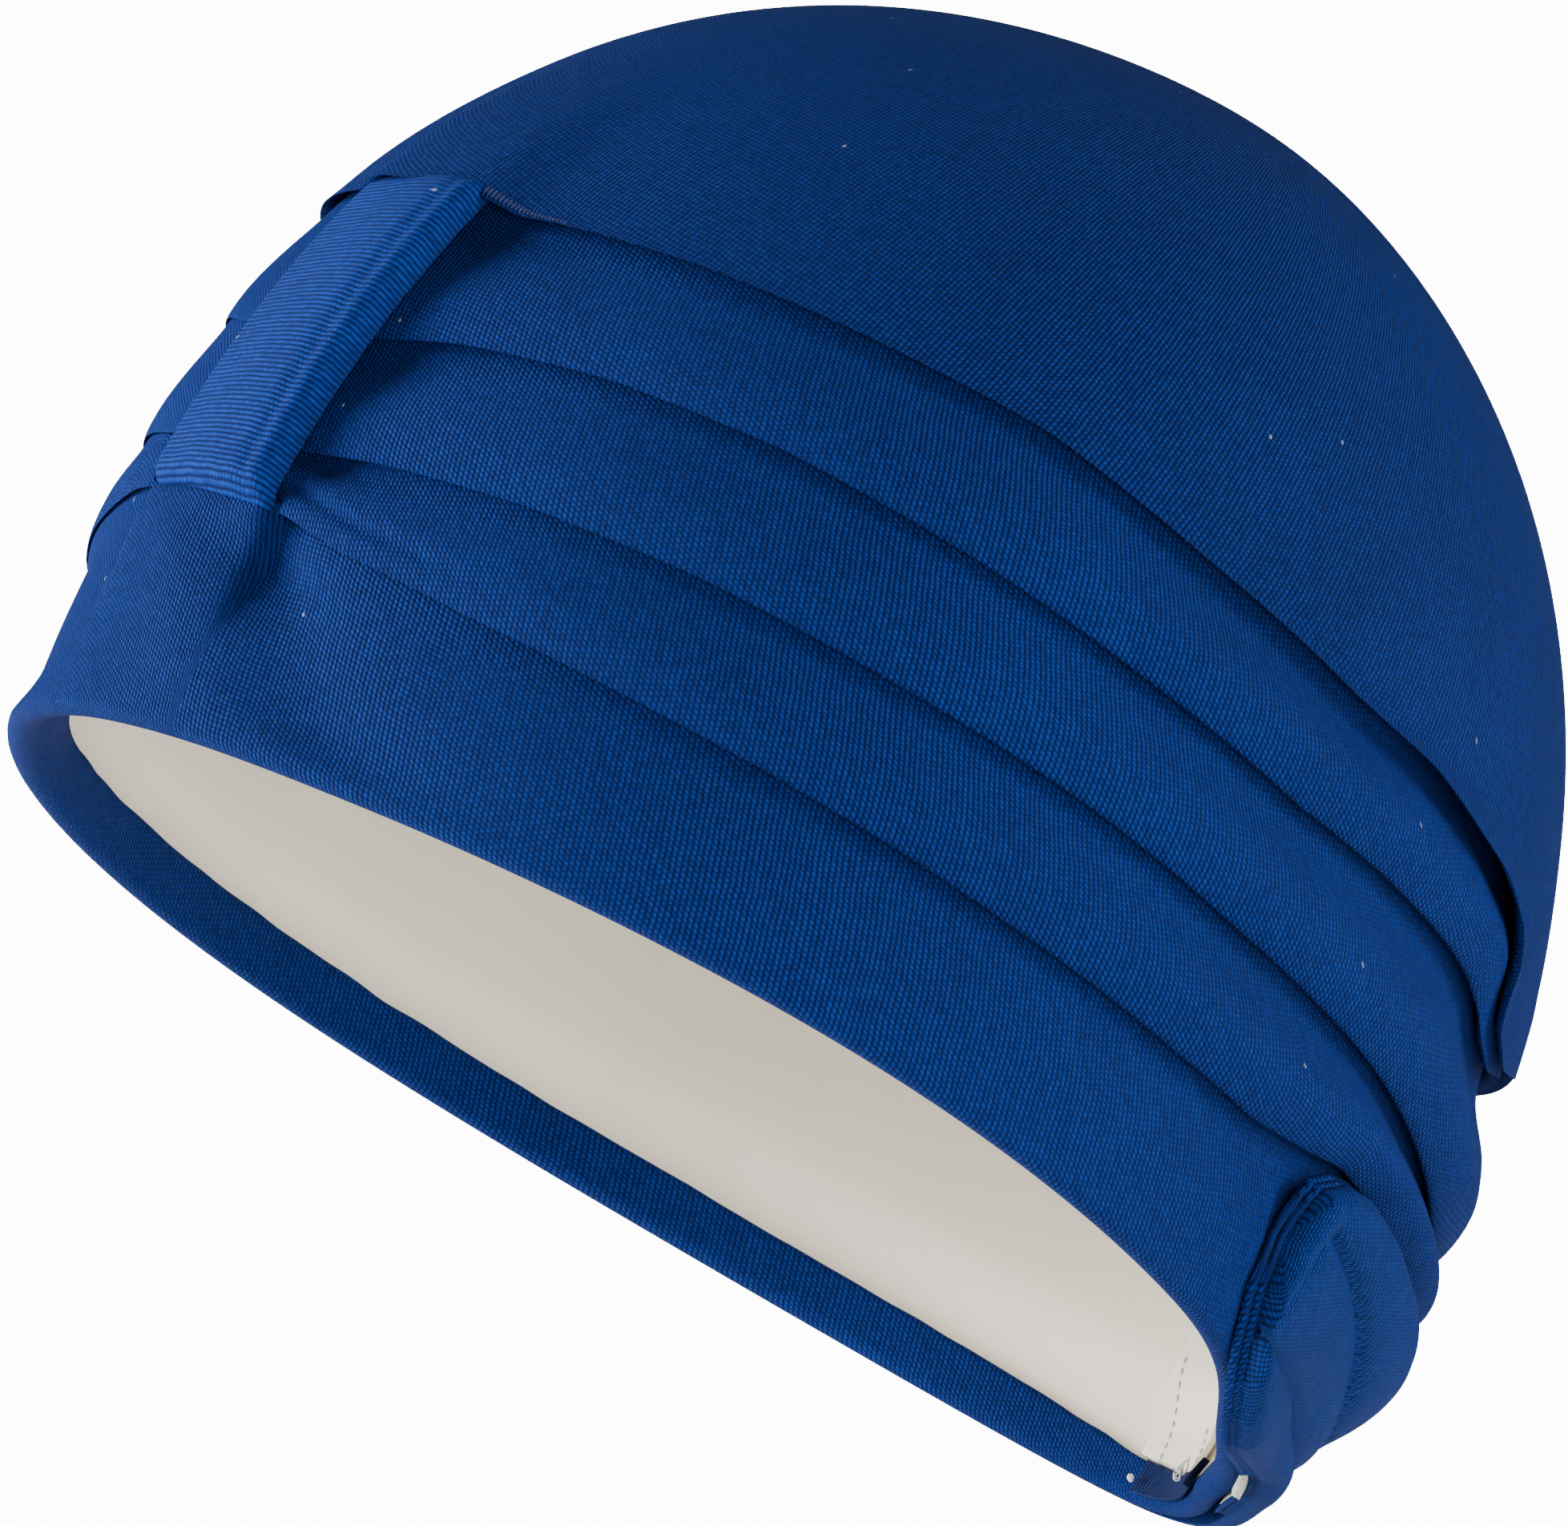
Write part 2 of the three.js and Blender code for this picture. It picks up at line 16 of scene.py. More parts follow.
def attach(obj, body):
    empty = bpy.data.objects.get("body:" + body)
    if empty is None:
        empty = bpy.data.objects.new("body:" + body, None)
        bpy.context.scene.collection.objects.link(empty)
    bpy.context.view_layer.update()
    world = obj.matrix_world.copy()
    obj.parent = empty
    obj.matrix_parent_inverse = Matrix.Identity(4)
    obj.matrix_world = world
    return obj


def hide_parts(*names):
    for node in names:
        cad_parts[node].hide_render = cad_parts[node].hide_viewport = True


bl_info = {
    "name": "Pleated swim cap",
    "version": (1, 0, 0),
    "blender": (4, 5, 0),
    "location": "3D View > Sidebar > Swim cap",
    "description": "Shapes and finishes a pleated knit swim cap on its packed solids",
    "category": "Object",
}

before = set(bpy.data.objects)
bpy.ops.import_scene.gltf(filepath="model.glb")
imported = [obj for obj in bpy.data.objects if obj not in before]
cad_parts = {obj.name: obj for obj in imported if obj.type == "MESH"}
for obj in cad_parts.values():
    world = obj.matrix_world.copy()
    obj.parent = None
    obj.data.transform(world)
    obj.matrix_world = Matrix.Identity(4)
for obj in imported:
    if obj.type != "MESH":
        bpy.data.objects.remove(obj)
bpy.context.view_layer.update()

# Heights of the folds' lower edges as shares of the crown's height, by the angle from the front band.
FOLD_TABLE = (
    {"away": 0, "rim": 0.197, "lower": 0.243, "middle": 0.35, "upper": 0.494},
    {"away": 12, "rim": 0.194, "lower": 0.247, "middle": 0.358, "upper": 0.497},
    {"away": 21, "rim": 0.177, "lower": 0.256, "middle": 0.374, "upper": 0.501},
    {"away": 34, "rim": 0.166, "lower": 0.266, "middle": 0.39, "upper": 0.511},
    {"away": 48, "rim": 0.16, "lower": 0.271, "middle": 0.397, "upper": 0.516},
    {"away": 64, "rim": 0.155, "lower": 0.269, "middle": 0.393, "upper": 0.52},
    {"away": 80, "rim": 0.151, "lower": 0.269, "middle": 0.386, "upper": 0.502},
    {"away": 96, "rim": 0.151, "lower": 0.265, "middle": 0.384, "upper": 0.493},
    {"away": 106, "rim": 0.155, "lower": 0.268, "middle": 0.395, "upper": 0.492},
    {"away": 113, "rim": 0.172, "lower": 0.27, "middle": 0.401, "upper": 0.48},
    {"away": 118, "rim": 0.188, "lower": 0.27, "middle": 0.405, "upper": 0.476},
    {"away": 123, "rim": 0.191, "lower": 0.268, "middle": 0.406, "upper": 0.462},
    {"away": 128, "rim": 0.192, "lower": 0.265, "middle": 0.4, "upper": 0.426},
    {"away": 132, "rim": 0.192, "lower": 0.262, "middle": 0.388, "upper": 0.4},
    {"away": 137, "rim": 0.192, "lower": 0.258, "middle": 0.384, "upper": 0.389},
    {"away": 142, "rim": 0.192, "lower": 0.255, "middle": 0.4, "upper": 0.403},
    {"away": 152, "rim": 0.192, "lower": 0.254, "middle": 0.43, "upper": 0.434},
    {"away": 180, "rim": 0.192, "lower": 0.254, "middle": 0.436, "upper": 0.44},
)

# How the strap's rounded end grows from its tip: reach up and down as shares of half its width.
STRAP_END = (
    {"along": 0.0, "up": 0.36, "down": -0.1},
    {"along": 0.004, "up": 0.6, "down": 0.12},
    {"along": 0.012, "up": 0.78, "down": 0.22},
    {"along": 0.04, "up": 0.94, "down": 0.5},
    {"along": 0.08, "up": 1.03, "down": 0.76},
    {"along": 0.13, "up": 1.04, "down": 0.93},
    {"along": 0.18, "up": 1.04, "down": 1.0},
    {"along": 0.3, "up": 0.93, "down": 0.88},
    {"along": 0.42, "up": 0.77, "down": 0.78},
    {"along": 1.0, "up": 0.73, "down": 0.77},
)

# The stitched patch's outline on the strap: metres from the strap's tip, and height.
PATCH_LINE = (
    (0.080, 0.0062),
    (0.0568, 0.0059),
    (0.0455, 0.0055),
    (0.0283, 0.0054),
    (0.0151, 0.0043),
    (0.0090, 0.0036),
    (0.0041, 0.0038),
    (0.0031, 0.0081),
    (0.0047, 0.0149),
    (0.0057, 0.0201),
    (0.0161, 0.0193),
    (0.0290, 0.0181),
    (0.0434, 0.0162),
    (0.0543, 0.0143),
    (0.080, 0.0120),
)

# The two rows of pale stitches inside the back: angle and height at the top and at the hem.
STITCH_ROWS = (
    {"top_angle": 196.6, "top": 0.0195, "low_angle": 194.3, "low": 0.0056, "count": 9},
    {"top_angle": 188.9, "top": 0.0120, "low_angle": 186.2, "low": 0.0050, "count": 5},
)


# Length of the cloth's own map round the head: 806 columns of stitches, so that no seam shows.
ROUND_LENGTH = 0.49972

# The nape's dip grows with this power of how far back a place lies.
NAPE_DIP_POWER = 12

# Where the strap draws the nape in: the first and last angle, and the turn over which it grows.
PULL_START = 119
PULL_END = 200
PULL_RUN = 32

# The folds by the angle from the front band: full depth, and where the crown hides the upper fold.
FULL_DEPTH_ANGLE = 140
HIDDEN_START = 124
HIDDEN_RUN = 9
HIDDEN_SINK = 0.0018
TALLER = 0.007
TALLER_START = 96
TALLER_RUN = 20
SHORTEST_FOLD = 0.009

# How a fold swells at the back, by the share of its height.
PUFF_FULL = 0.3
PUFF_FADE = 0.42
PUFF_FADE_RUN = 0.34

# Where the folds lie flat and thin, by the turn from the front band.
FLAT_SHARE = 0.62
FLAT_TURN = -24
FLAT_WIDTH = 20

# How the front band gathers the folds beside it.
PINCH_DEPTH = 0.0011
PINCH_TURN = 13
PINCH_WIDTH = 5

# The front band's middle is turned a little from the folds' own, and the rim band laps over its foot.
BAND_SHIFT = 2.0
FOOT_HALF_WIDTH = 9.0
FOOT_RUN = 1.4
FOOT_LAP = 0.0009

# The crown's cloth rises to meet the front band.
CROWN_LIFT = 0.0026
CROWN_LIFT_RUN = 0.035

# The hem is lower round this angle.
HEM_LOW_ANGLE = 184
HEM_LOW_WIDTH = 22
HEM_LOW_SHARE = 0.42

# Slanting valleys in the rim band: the one beside the front band, its ridge, and the far hollow.
DRAPES = (
    {"depth": 0.0022, "turn": 40, "slant": -20, "width": 8},
    {"depth": -0.0007, "turn": 25, "slant": -17, "width": 6},
    {"depth": 0.0024, "turn": -19, "slant": -6, "width": 13},
)

# Steps along the strap, the width of its rounded edge, and the two layers of cloth beside it.
STRAP_STEP = 0.0005
STRAP_EDGE = 0.0022
LAYER_SHARE = 0.6
LAYER_EDGE = 0.0007
LAYER_WALL = 0.0009
STRAP_LAYERS = (
    {"name": "strap_layer_1", "grow": 0.0006, "rise": 0.0010},
    {"name": "strap_layer_2", "grow": 0.0013, "rise": 0.0001},
)

# The soft lights. The way from the cap is given as parts of right, towards the camera and up.
LIGHTS = (
    {"name": "left_light", "way": (-1.0, 0.1, 0.25), "far": 1.0, "size": (0.4, 1.0), "power": 33},
    {"name": "right_light", "way": (0.9, 0.35, 0.1), "far": 1.1, "size": (0.4, 0.9), "power": 15},
    {"name": "low_light", "way": (0.2, 1.0, -0.02), "far": 1.0, "size": (0.4, 0.25), "power": 5.5},
)


class CapForm(bpy.types.PropertyGroup):
    """The stretched form of the cap and its folds."""

    rim_length: FloatProperty(
        name="Rim length", description="Rim from front to back", default=0.2, unit="LENGTH"
    )
    rim_width: FloatProperty(
        name="Rim width", description="Rim from side to side", default=0.1432, unit="LENGTH"
    )
    crown_height: FloatProperty(
        name="Crown height", description="Rim plane to crown", default=0.152, unit="LENGTH"
    )
    widest_forward: FloatProperty(
        name="Widest forward", description="How far forward the widest place lies", default=0.0077,
        unit="LENGTH"
    )
    temple_hollow: FloatProperty(
        name="Temple hollow", description="How much the temples are hollowed", default=0.01,
        unit="LENGTH"
    )
    side_rise: FloatProperty(
        name="Side rise", description="Rise of the rim at the sides", default=0.0035, unit="LENGTH"
    )
    front_drop: FloatProperty(
        name="Front drop", description="Drop of the rim towards the front", default=0.0032,
        unit="LENGTH"
    )
    crown_lean: FloatProperty(
        name="Crown lean", description="How far back the crown leans", default=0.0069, unit="LENGTH"
    )
    forehead_fullness: FloatProperty(
        name="Forehead fullness", description="How squarely the front rounds", default=3.14
    )
    nape_fullness: FloatProperty(
        name="Nape fullness", description="How squarely the back rounds", default=2.8
    )
    forehead_swell: FloatProperty(
        name="Forehead swell", description="Bulge of the front as a share", default=0.18
    )
    nape_swell: FloatProperty(
        name="Nape swell", description="Bulge of the back as a share", default=0.12
    )
    worn_tilt: FloatProperty(
        name="Worn tilt", description="How far the cap leans back", default=math.radians(31.9),
        subtype="ANGLE"
    )
    seat_depth: FloatProperty(
        name="Seat depth", description="Inner face of the lining below the form's top",
        default=0.0062, unit="LENGTH"
    )
    band_angle: FloatProperty(
        name="Band angle", description="Degrees from the front to the front band", default=9.5
    )
    band_width: FloatProperty(
        name="Band width", description="Width of the front band", default=0.025, unit="LENGTH"
    )
    hem_height: FloatProperty(
        name="Hem height", description="Height of the turned hem", default=0.0081, unit="LENGTH"
    )
    hem_roll: FloatProperty(
        name="Hem roll", description="Height of the rim's rounded fold", default=0.0016,
        unit="LENGTH"
    )
    closure_pull: FloatProperty(
        name="Closure pull", description="How far the strap draws the nape in", default=0.0086,
        unit="LENGTH"
    )
    strap_tip_angle: FloatProperty(
        name="Strap tip", description="Degrees from the front to the strap's tip", default=123.4
    )
    strap_length: FloatProperty(
        name="Strap length", description="Length of the strap", default=0.128, unit="LENGTH"
    )
    strap_width: FloatProperty(
        name="Strap width", description="Width of the strap", default=0.032, unit="LENGTH"
    )
    strap_drop: FloatProperty(
        name="Strap drop", description="How far the strap hangs below the rim", default=0.005,
        unit="LENGTH"
    )
    strap_shoulder: FloatProperty(
        name="Strap shoulder", description="Height above which the strap stands clear",
        default=0.015, unit="LENGTH",
    )
    strap_rise: FloatProperty(
        name="Strap rise", description="How far the strap climbs past its tip", default=0.0025, unit="LENGTH"
    )
    strap_pad: FloatProperty(
        name="Strap pad", description="Thickness of the padded strap", default=0.0034, unit="LENGTH"
    )
    nape_dip: FloatProperty(
        name="Nape dip", description="How far the rim dips at the nape", default=0.0014, unit="LENGTH"
    )
    fold_puff: FloatProperty(
        name="Fold puff", description="How far the folds swell at the back", default=0.0016, unit="LENGTH"
    )


class CapCloth(bpy.types.PropertyGroup):
    """The cloth's walls, the depth of its folds and its colours."""

    wall: FloatProperty(
        name="Knit wall", description="Thickness of the knit", default=0.0012, unit="LENGTH"
    )
    film_wall: FloatProperty(
        name="Film wall", description="Thickness of the lining", default=0.001, unit="LENGTH"
    )
    gap: FloatProperty(
        name="Gap", description="Clearance between pieces", default=0.00035, unit="LENGTH"
    )
    lap: FloatProperty(
        name="Lap", description="How far a lip laps over what lies below", default=0.0045,
        unit="LENGTH"
    )
    lip_stand: FloatProperty(
        name="Lip stand", description="How far a lip stands out", default=0.0005, unit="LENGTH"
    )
    front_fold: FloatProperty(
        name="Front fold depth", description="Depth of the folds at the front", default=0.0005,
        unit="LENGTH"
    )
    back_fold: FloatProperty(
        name="Back fold depth", description="Depth of the folds at the back", default=0.0027,
        unit="LENGTH"
    )
    lip_curl: FloatProperty(
        name="Lip curl", description="How far a lip turns in, as a share of the depth", default=0.75
    )
    crown_settle: FloatProperty(
        name="Crown settle", description="Height over which the crown's lip settles", default=0.026,
        unit="LENGTH"
    )
    wale: FloatProperty(
        name="Wale", description="Width of a column of stitches", default=0.00062, precision=5,
        unit="LENGTH"
    )
    course: FloatProperty(
        name="Course", description="Height of a row of stitches", default=0.00066, precision=5,
        unit="LENGTH"
    )
    columns: IntProperty(name="Columns", description="Stations round the head", default=320)
    knit_blue: FloatVectorProperty(
        name="Knit blue", description="Colour of the knit", default=(0.0002, 0.0155, 0.128),
        subtype="COLOR", size=3
    )
    hem_blue: FloatVectorProperty(
        name="Hem blue", description="Colour of the inner hem", default=(0.0008, 0.007, 0.05),
        subtype="COLOR", size=3
    )
    film_cream: FloatVectorProperty(
        name="Film cream", description="Colour of the lining", default=(0.84, 0.785, 0.67),
        subtype="COLOR", size=3
    )


class StudioSettings(bpy.types.PropertyGroup):
    """The camera's place and the studio's light."""

    camera_place: FloatVectorProperty(
        name="Camera place", description="Where the camera stands",
        default=(0.87253, -0.57239, -0.08191), subtype="XYZ", size=3
    )
    camera_aim: FloatVectorProperty(
        name="Camera aim", description="What the camera looks at",
        default=(0.0077, -0.07041, -0.07365), subtype="XYZ", size=3
    )
    lens: FloatProperty(name="Lens", description="Focal length in millimetres", default=185.13)
    floor_height: FloatProperty(
        name="Floor height", description="Height of the floor", default=-0.27, unit="LENGTH"
    )


def clamp(value, low=0.0, high=1.0):
    return min(max(value, low), high)


def smooth(share):
    share = clamp(share)
    return share * share * (3 - 2 * share)


def rounded(share):
    """The height of a rounded edge, from 0 at the edge to 1 where it is full."""
    return math.sqrt(clamp(1 - (1 - clamp(share)) ** 2))


def crowded(share):
    """Draws evenly spaced rows closer to both edges."""
    return share - math.sin(2 * math.pi * share) * 0.09


def hump(value, centre, width):
    aside = (value - centre) / width
    return math.exp(-aside * aside)


def look_up(table, key, column, value):
    last = table[0]
    for row in table:
        if row[key] >= value:
            span = row[key] - last[key]
            share = (value - last[key]) / span if span > 0 else 0
            return last[column] + (row[column] - last[column]) * share
        last = row
    return last[column]


def turn_from(angle, start):
    """The turn from one angle to another, from -180 to 180 degrees."""
    return (angle - start + 180) % 360 - 180


class Cap:
    """The cap's form as numbers, read once from the scene's settings."""

    def __init__(self, context):
        for settings in (context.scene.cap_form, context.scene.cap_cloth):
            for name in settings.__annotations__:
                value = getattr(settings, name)
                setattr(self, name, value)
        self.seat = self.form_point(0, 1) - Vector((0, 0, self.seat_depth))
        self.lean_back = Matrix.Rotation(-self.worn_tilt, 4, "X")
        self.seat = self.lean_back @ self.seat

    def form_point(self, angle, share):
        s = math.sin(math.radians(angle))
        c = math.cos(math.radians(angle))
        out = self.rim_width / 2 * s - self.temple_hollow * s * c * c
        back = -self.rim_length / 2 * c - self.widest_forward * s * s
        dip = self.nape_dip * ((1 - c) / 2) ** NAPE_DIP_POWER
        rise = s * s * (self.side_rise - self.front_drop * c) - dip
        swell = share * (1 - share)
        front = math.sqrt(max(1 - share ** self.forehead_fullness, 0)) * (1 + self.forehead_swell * swell)
        nape = math.sqrt(max(1 - share ** self.nape_fullness, 0)) * (1 + self.nape_swell * swell)
        reach = ((1 + c) * front + (1 - c) * nape) / 2
        lean = self.crown_lean * share * share
        return Vector((out * reach, back * reach + lean, self.crown_height * share + rise * (1 - share)))

    def outwards(self, angle, share):
        step = 0.004
        low = max(share - step, 0)
        high = min(share + step, 1 - step * step)
        along = self.form_point(angle + 1, share) - self.form_point(angle - 1, share)
        up = self.form_point(angle, high) - self.form_point(angle, low)
        return along.cross(up).normalized()

    def point(self, angle, height, offset):
        """A place on the cap, already leaned back and set at the seat."""
        if height >= self.crown_height:
            place = self.form_point(0, 1) + Vector((0, 0, offset))
        else:
            share = clamp(height / self.crown_height)
            place = self.form_point(angle, share) + self.outwards(angle, share) * offset
            place.z += min(height, 0)
        return self.lean_back @ place - self.seat

    def away(self, angle):
        return abs(turn_from(angle, self.band_angle))

    def edge(self, column, angle):
        return self.crown_height * look_up(FOLD_TABLE, "away", column, self.away(angle))

    def fold_depth(self, angle):
        return self.front_fold + (self.back_fold - self.front_fold) * smooth(self.away(angle) / FULL_DEPTH_ANGLE)

    def flat(self, angle):
        """1 where the folds lie flat and thin, on the far side of the front band."""
        return FLAT_SHARE * hump(turn_from(angle, self.band_angle), FLAT_TURN, FLAT_WIDTH)

    def wall_at(self, angle):
        return self.wall * (1 - self.flat(angle))

    def pinch(self, angle):
        """How far the folds sink beside the front band, which gathers them."""
        return PINCH_DEPTH * hump(turn_from(angle, self.band_angle), PINCH_TURN, PINCH_WIDTH)

    def tuck(self, angle):
        kept = 1 - self.flat(angle)
        return self.lip_stand - (self.wall + self.gap + self.fold_depth(angle)) * kept - self.pinch(angle)

    def pull(self, angle, height):
        turn = angle % 360
        into = smooth((turn - PULL_START) / PULL_RUN)
        out_of = smooth((PULL_END - turn) / PULL_RUN)
        fade = 1 - smooth(height / self.edge("rim", angle))
        return self.closure_pull * into * out_of * fade

    def drape(self, angle, height):
        """The slanting valley beside the front band, and the hollow on its other side."""
        share = height / self.edge("rim", angle)
        ends = smooth(share * 4) * smooth((1 - share) * 4)
        turn = turn_from(angle, 0)
        deep = 0.0
        for row in DRAPES:
            deep += row["depth"] * hump(turn, row["turn"] + row["slant"] * share, row["width"])
        return deep * ends

    def climb(self, angle, height):
        start = self.hem_height + self.wall
        return (height - start) / (self.edge("rim", angle) - start)

    def rim_offset(self, angle, height):
        lifted = self.band_foot(angle)
        tuck = self.tuck(angle) * (1 - lifted) + FOOT_LAP * lifted
        return tuck * smooth(self.climb(angle, height)) - self.pull(angle, height) - self.drape(angle, height)

    def band_foot(self, angle):
        """1 where the rim band laps over the front band's foot, 0 away from it."""
        aside = abs(turn_from(angle, self.band_angle + BAND_SHIFT))
        return 1 - smooth((aside - FOOT_HALF_WIDTH) / FOOT_RUN)

    def lining_offset(self, angle, height):
        in_hem = -self.wall - self.gap
        under = self.tuck(angle) - self.wall - self.gap
        step = smooth(self.climb(angle, height) * 2)
        return in_hem + (under - in_hem) * step - self.pull(angle, height) - self.drape(angle, height)

    def hem_at(self, angle):
        """The hem's height, which is less at the nape."""
        lower = HEM_LOW_SHARE * hump(turn_from(angle, HEM_LOW_ANGLE), 0, HEM_LOW_WIDTH)
        return self.hem_height * (1 - lower)

    def hem_inner(self, angle, height):
        return self.lining_offset(angle, min(height, self.hem_height)) - self.film_wall - self.gap

    def curl_in(self, angle, above):
        """How far a rounded lip turns in near its edge."""
        return self.lip_curl * self.fold_depth(angle) * (1 - rounded(above / self.lap))

    def hidden(self, angle, column):
        """1 where the crown hangs over the upper fold at the back, which lies flat there."""
        return smooth((self.away(angle) - HIDDEN_START) / HIDDEN_RUN) if column == "middle" else 0.0

    def puff(self, angle, edge, top, height):
        """At the back a fold swells between its lip and the next one."""
        share = (height - edge) / (top - edge)
        backness = smooth(self.away(angle) / FULL_DEPTH_ANGLE)
        fade = 1 - smooth((share - PUFF_FADE) / PUFF_FADE_RUN)
        return self.fold_puff * backness * backness * smooth(share / PUFF_FULL) * fade

    def fold_offset(self, angle, edge, top, height, hidden):
        settle = smooth((height - edge - self.lap) / (top - edge - 2 * self.lap))
        lip = self.lip_stand - self.pinch(angle) * 0.3 - HIDDEN_SINK * hidden
        shown = self.puff(angle, edge, top, height) - self.curl_in(angle, height - edge)
        return lip + (self.tuck(angle) - lip) * settle + shown * (1 - hidden)

    def fold_top(self, angle, column, above):
        edge = self.edge(column, angle)
        taller = TALLER * smooth((self.away(angle) - TALLER_START) / TALLER_RUN) if column == "middle" else 0
        return max(self.edge(above, angle), edge + SHORTEST_FOLD) + self.lap + taller

    def crown_offset(self, angle, height):
        edge = self.edge("upper", angle)
        over = 1 - smooth((height - edge - self.lap) / self.crown_settle)
        lip = self.lip_stand * over - self.curl_in(angle, height - edge)
        low = self.edge("middle", angle)
        high = self.fold_top(angle, "middle", "upper")
        near = (height, height - self.lap / 2, height - self.lap)
        hidden = self.hidden(angle, "middle")
        fold = max(self.fold_offset(angle, low, high, at, hidden) for at in near)
        beyond = smooth((height - high) / self.crown_settle)
        clear = (fold + 2 * self.gap + self.wall_at(angle)) * (1 - beyond)
        return max(lip, clear) + self.crown_lift(angle, height - edge)

    def crown_lift(self, angle, above):
        """The crown's cloth rises to meet the front band."""
        turn = turn_from(angle, self.band_angle)
        across = smooth((turn + 10) / 8) * (1 - smooth((turn - 10) / 7))
        return CROWN_LIFT * across * (1 - smooth(above / CROWN_LIFT_RUN))

    def metres_per_degree(self, angle, height):
        return (self.point(angle + 0.5, height, 0) - self.point(angle - 0.5, height, 0)).length

    def under_strap(self, angle, height):
        return self.rim_offset(angle, max(height, 0)) + self.gap

    def strap_base(self, angle, height):
        """The strap bridges the tuck below the folds, and is drawn in with the nape."""
        low = min(height, self.strap_shoulder)
        return self.under_strap(angle, low) + self.pull(angle, max(low, 0)) - self.pull(angle, max(height, 0))


def new_object(name, bm, material):
    """Turns a finished bmesh into an object at the origin whose faces point outwards."""
    if bm.calc_volume(signed=True) < 0:
        bmesh.ops.reverse_faces(bm, faces=bm.faces)
    for face in bm.faces:
        face.smooth = True
    mesh = bpy.data.meshes.new(name)
    bm.to_mesh(mesh)
    bm.free()
    piece = bpy.data.objects.new(name, mesh)
    bpy.context.scene.collection.objects.link(piece)
    mesh.materials.append(material)
    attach(piece, "root")
    return piece


def shaped_grid(bm, columns, rows, place, cloth):
    """A grid whose points are moved to their place, with the cloth's own map in metres."""
    layer = bm.loops.layers.uv.get("cloth") or bm.loops.layers.uv.new("cloth")
    made = bmesh.ops.create_grid(bm, x_segments=columns, y_segments=rows, size=0.5)["verts"]
    where = {v: (round((v.co.x + 0.5) * columns), round((v.co.y + 0.5) * rows)) for v in made}
    faces = {face for v in made for face in v.link_faces}
    for face in faces:
        for loop in face.loops:
            loop[layer].uv = cloth(*where[loop.vert])
    for v, (column, row) in where.items():
        v.co = place(column, row)
    return made


def round_shell(cap, name, columns, section, lean, material):
    """A closed wall round the head. A section lists heights, offsets and lengths along the cloth."""
    bm = bmesh.new()
    sections = [section(360 * i / columns) for i in range(columns)]
    sections.append(sections[0])
    rows = len(sections[0]) - 1

    def place(column, row):
        height, offset = sections[column][row][:2]
        return cap.point(360 * (column % columns) / columns, height, offset)

    def cloth(column, row):
        along = sections[column][row][2]
        return (ROUND_LENGTH * column / columns + lean * along, along)

    shaped_grid(bm, columns, rows, place, cloth)
    bmesh.ops.remove_doubles(bm, verts=bm.verts, dist=1e-6)
    return new_object(name, bm, material)


def pillow(name, columns, rows, top, bottom, cloth, material):
    """A closed piece of two faces that meet along their edges."""
    bm = bmesh.new()
    shaped_grid(bm, columns, rows, top, cloth)
    under = shaped_grid(bm, columns, rows, bottom, cloth)
    bmesh.ops.reverse_faces(bm, faces=list({face for v in under for face in v.link_faces}))
    bmesh.ops.remove_doubles(bm, verts=bm.verts, dist=1e-6)
    return new_object(name, bm, material)


def cloth_strip(name, columns, rows, place_at, wall, cloth, material):
    """A thin sheet between two angles, with its edges closed."""
    bm = bmesh.new()
    shaped_grid(bm, columns, rows, lambda i, j: place_at(i / columns, j / rows, wall), cloth)
    under = shaped_grid(bm, columns, rows, lambda i, j: place_at(i / columns, j / rows, 0), cloth)
    bmesh.ops.reverse_faces(bm, faces=list({face for v in under for face in v.link_faces}))
    edges = [edge for edge in bm.edges if edge.is_boundary]
    bmesh.ops.bridge_loops(bm, edges=edges)
    return new_object(name, bm, material)


def shares(count, ease=1.0):
    return [(i / count) ** ease for i in range(count + 1)]


def with_length(cap, angle, path):
    """Adds to each place of a section its length along the cloth."""
    listed = []
    length = 0.0
    last = None
    for height, offset in path:
        place = cap.point(angle, height, offset)
        if last is not None:
            length += (place - last).length
        listed.append((height, offset, length))
        last = place
    return listed


def math_node(tree, kind, a, b=None, c=None):
    node = tree.nodes.new("ShaderNodeMath")
    node.operation = kind
    for socket, value in zip(node.inputs, (a, b, c)):
        if isinstance(value, (int, float)):
            socket.default_value = value
        elif value is not None:
            tree.links.new(value, socket)
    return node.outputs[0]


def noise_node(tree, vector, scale, detail=2.0):
    node = tree.nodes.new("ShaderNodeTexNoise")
    node.inputs["Scale"].default_value = scale
    node.inputs["Detail"].default_value = detail
    tree.links.new(vector, node.inputs["Vector"])
    return node.outputs["Fac"]


def mix_colour(tree, factor, a, b, kind="MIX"):
    node = tree.nodes.new("ShaderNodeMix")
    node.data_type = "RGBA"
    node.blend_type = kind
    targets = (node.inputs[0], node.inputs[6], node.inputs[7])
    for socket, value in zip(targets, (factor, a, b)):
        if isinstance(value, (int, float)):
            socket.default_value = value
        elif isinstance(value, (tuple, list)):
            socket.default_value = (*value[:3], 1)
        else:
            tree.links.new(value, socket)
    return node.outputs[2]


def group_of(name, inputs, outputs):
    group = bpy.data.node_groups.new(name, "ShaderNodeTree")
    for label, kind, default in inputs:
        socket = group.interface.new_socket(label, in_out="INPUT", socket_type=kind)
        if default is not None:
            socket.default_value = default
    for label, kind in outputs:
        group.interface.new_socket(label, in_out="OUTPUT", socket_type=kind)
    return group, group.nodes.new("NodeGroupInput"), group.nodes.new("NodeGroupOutput")


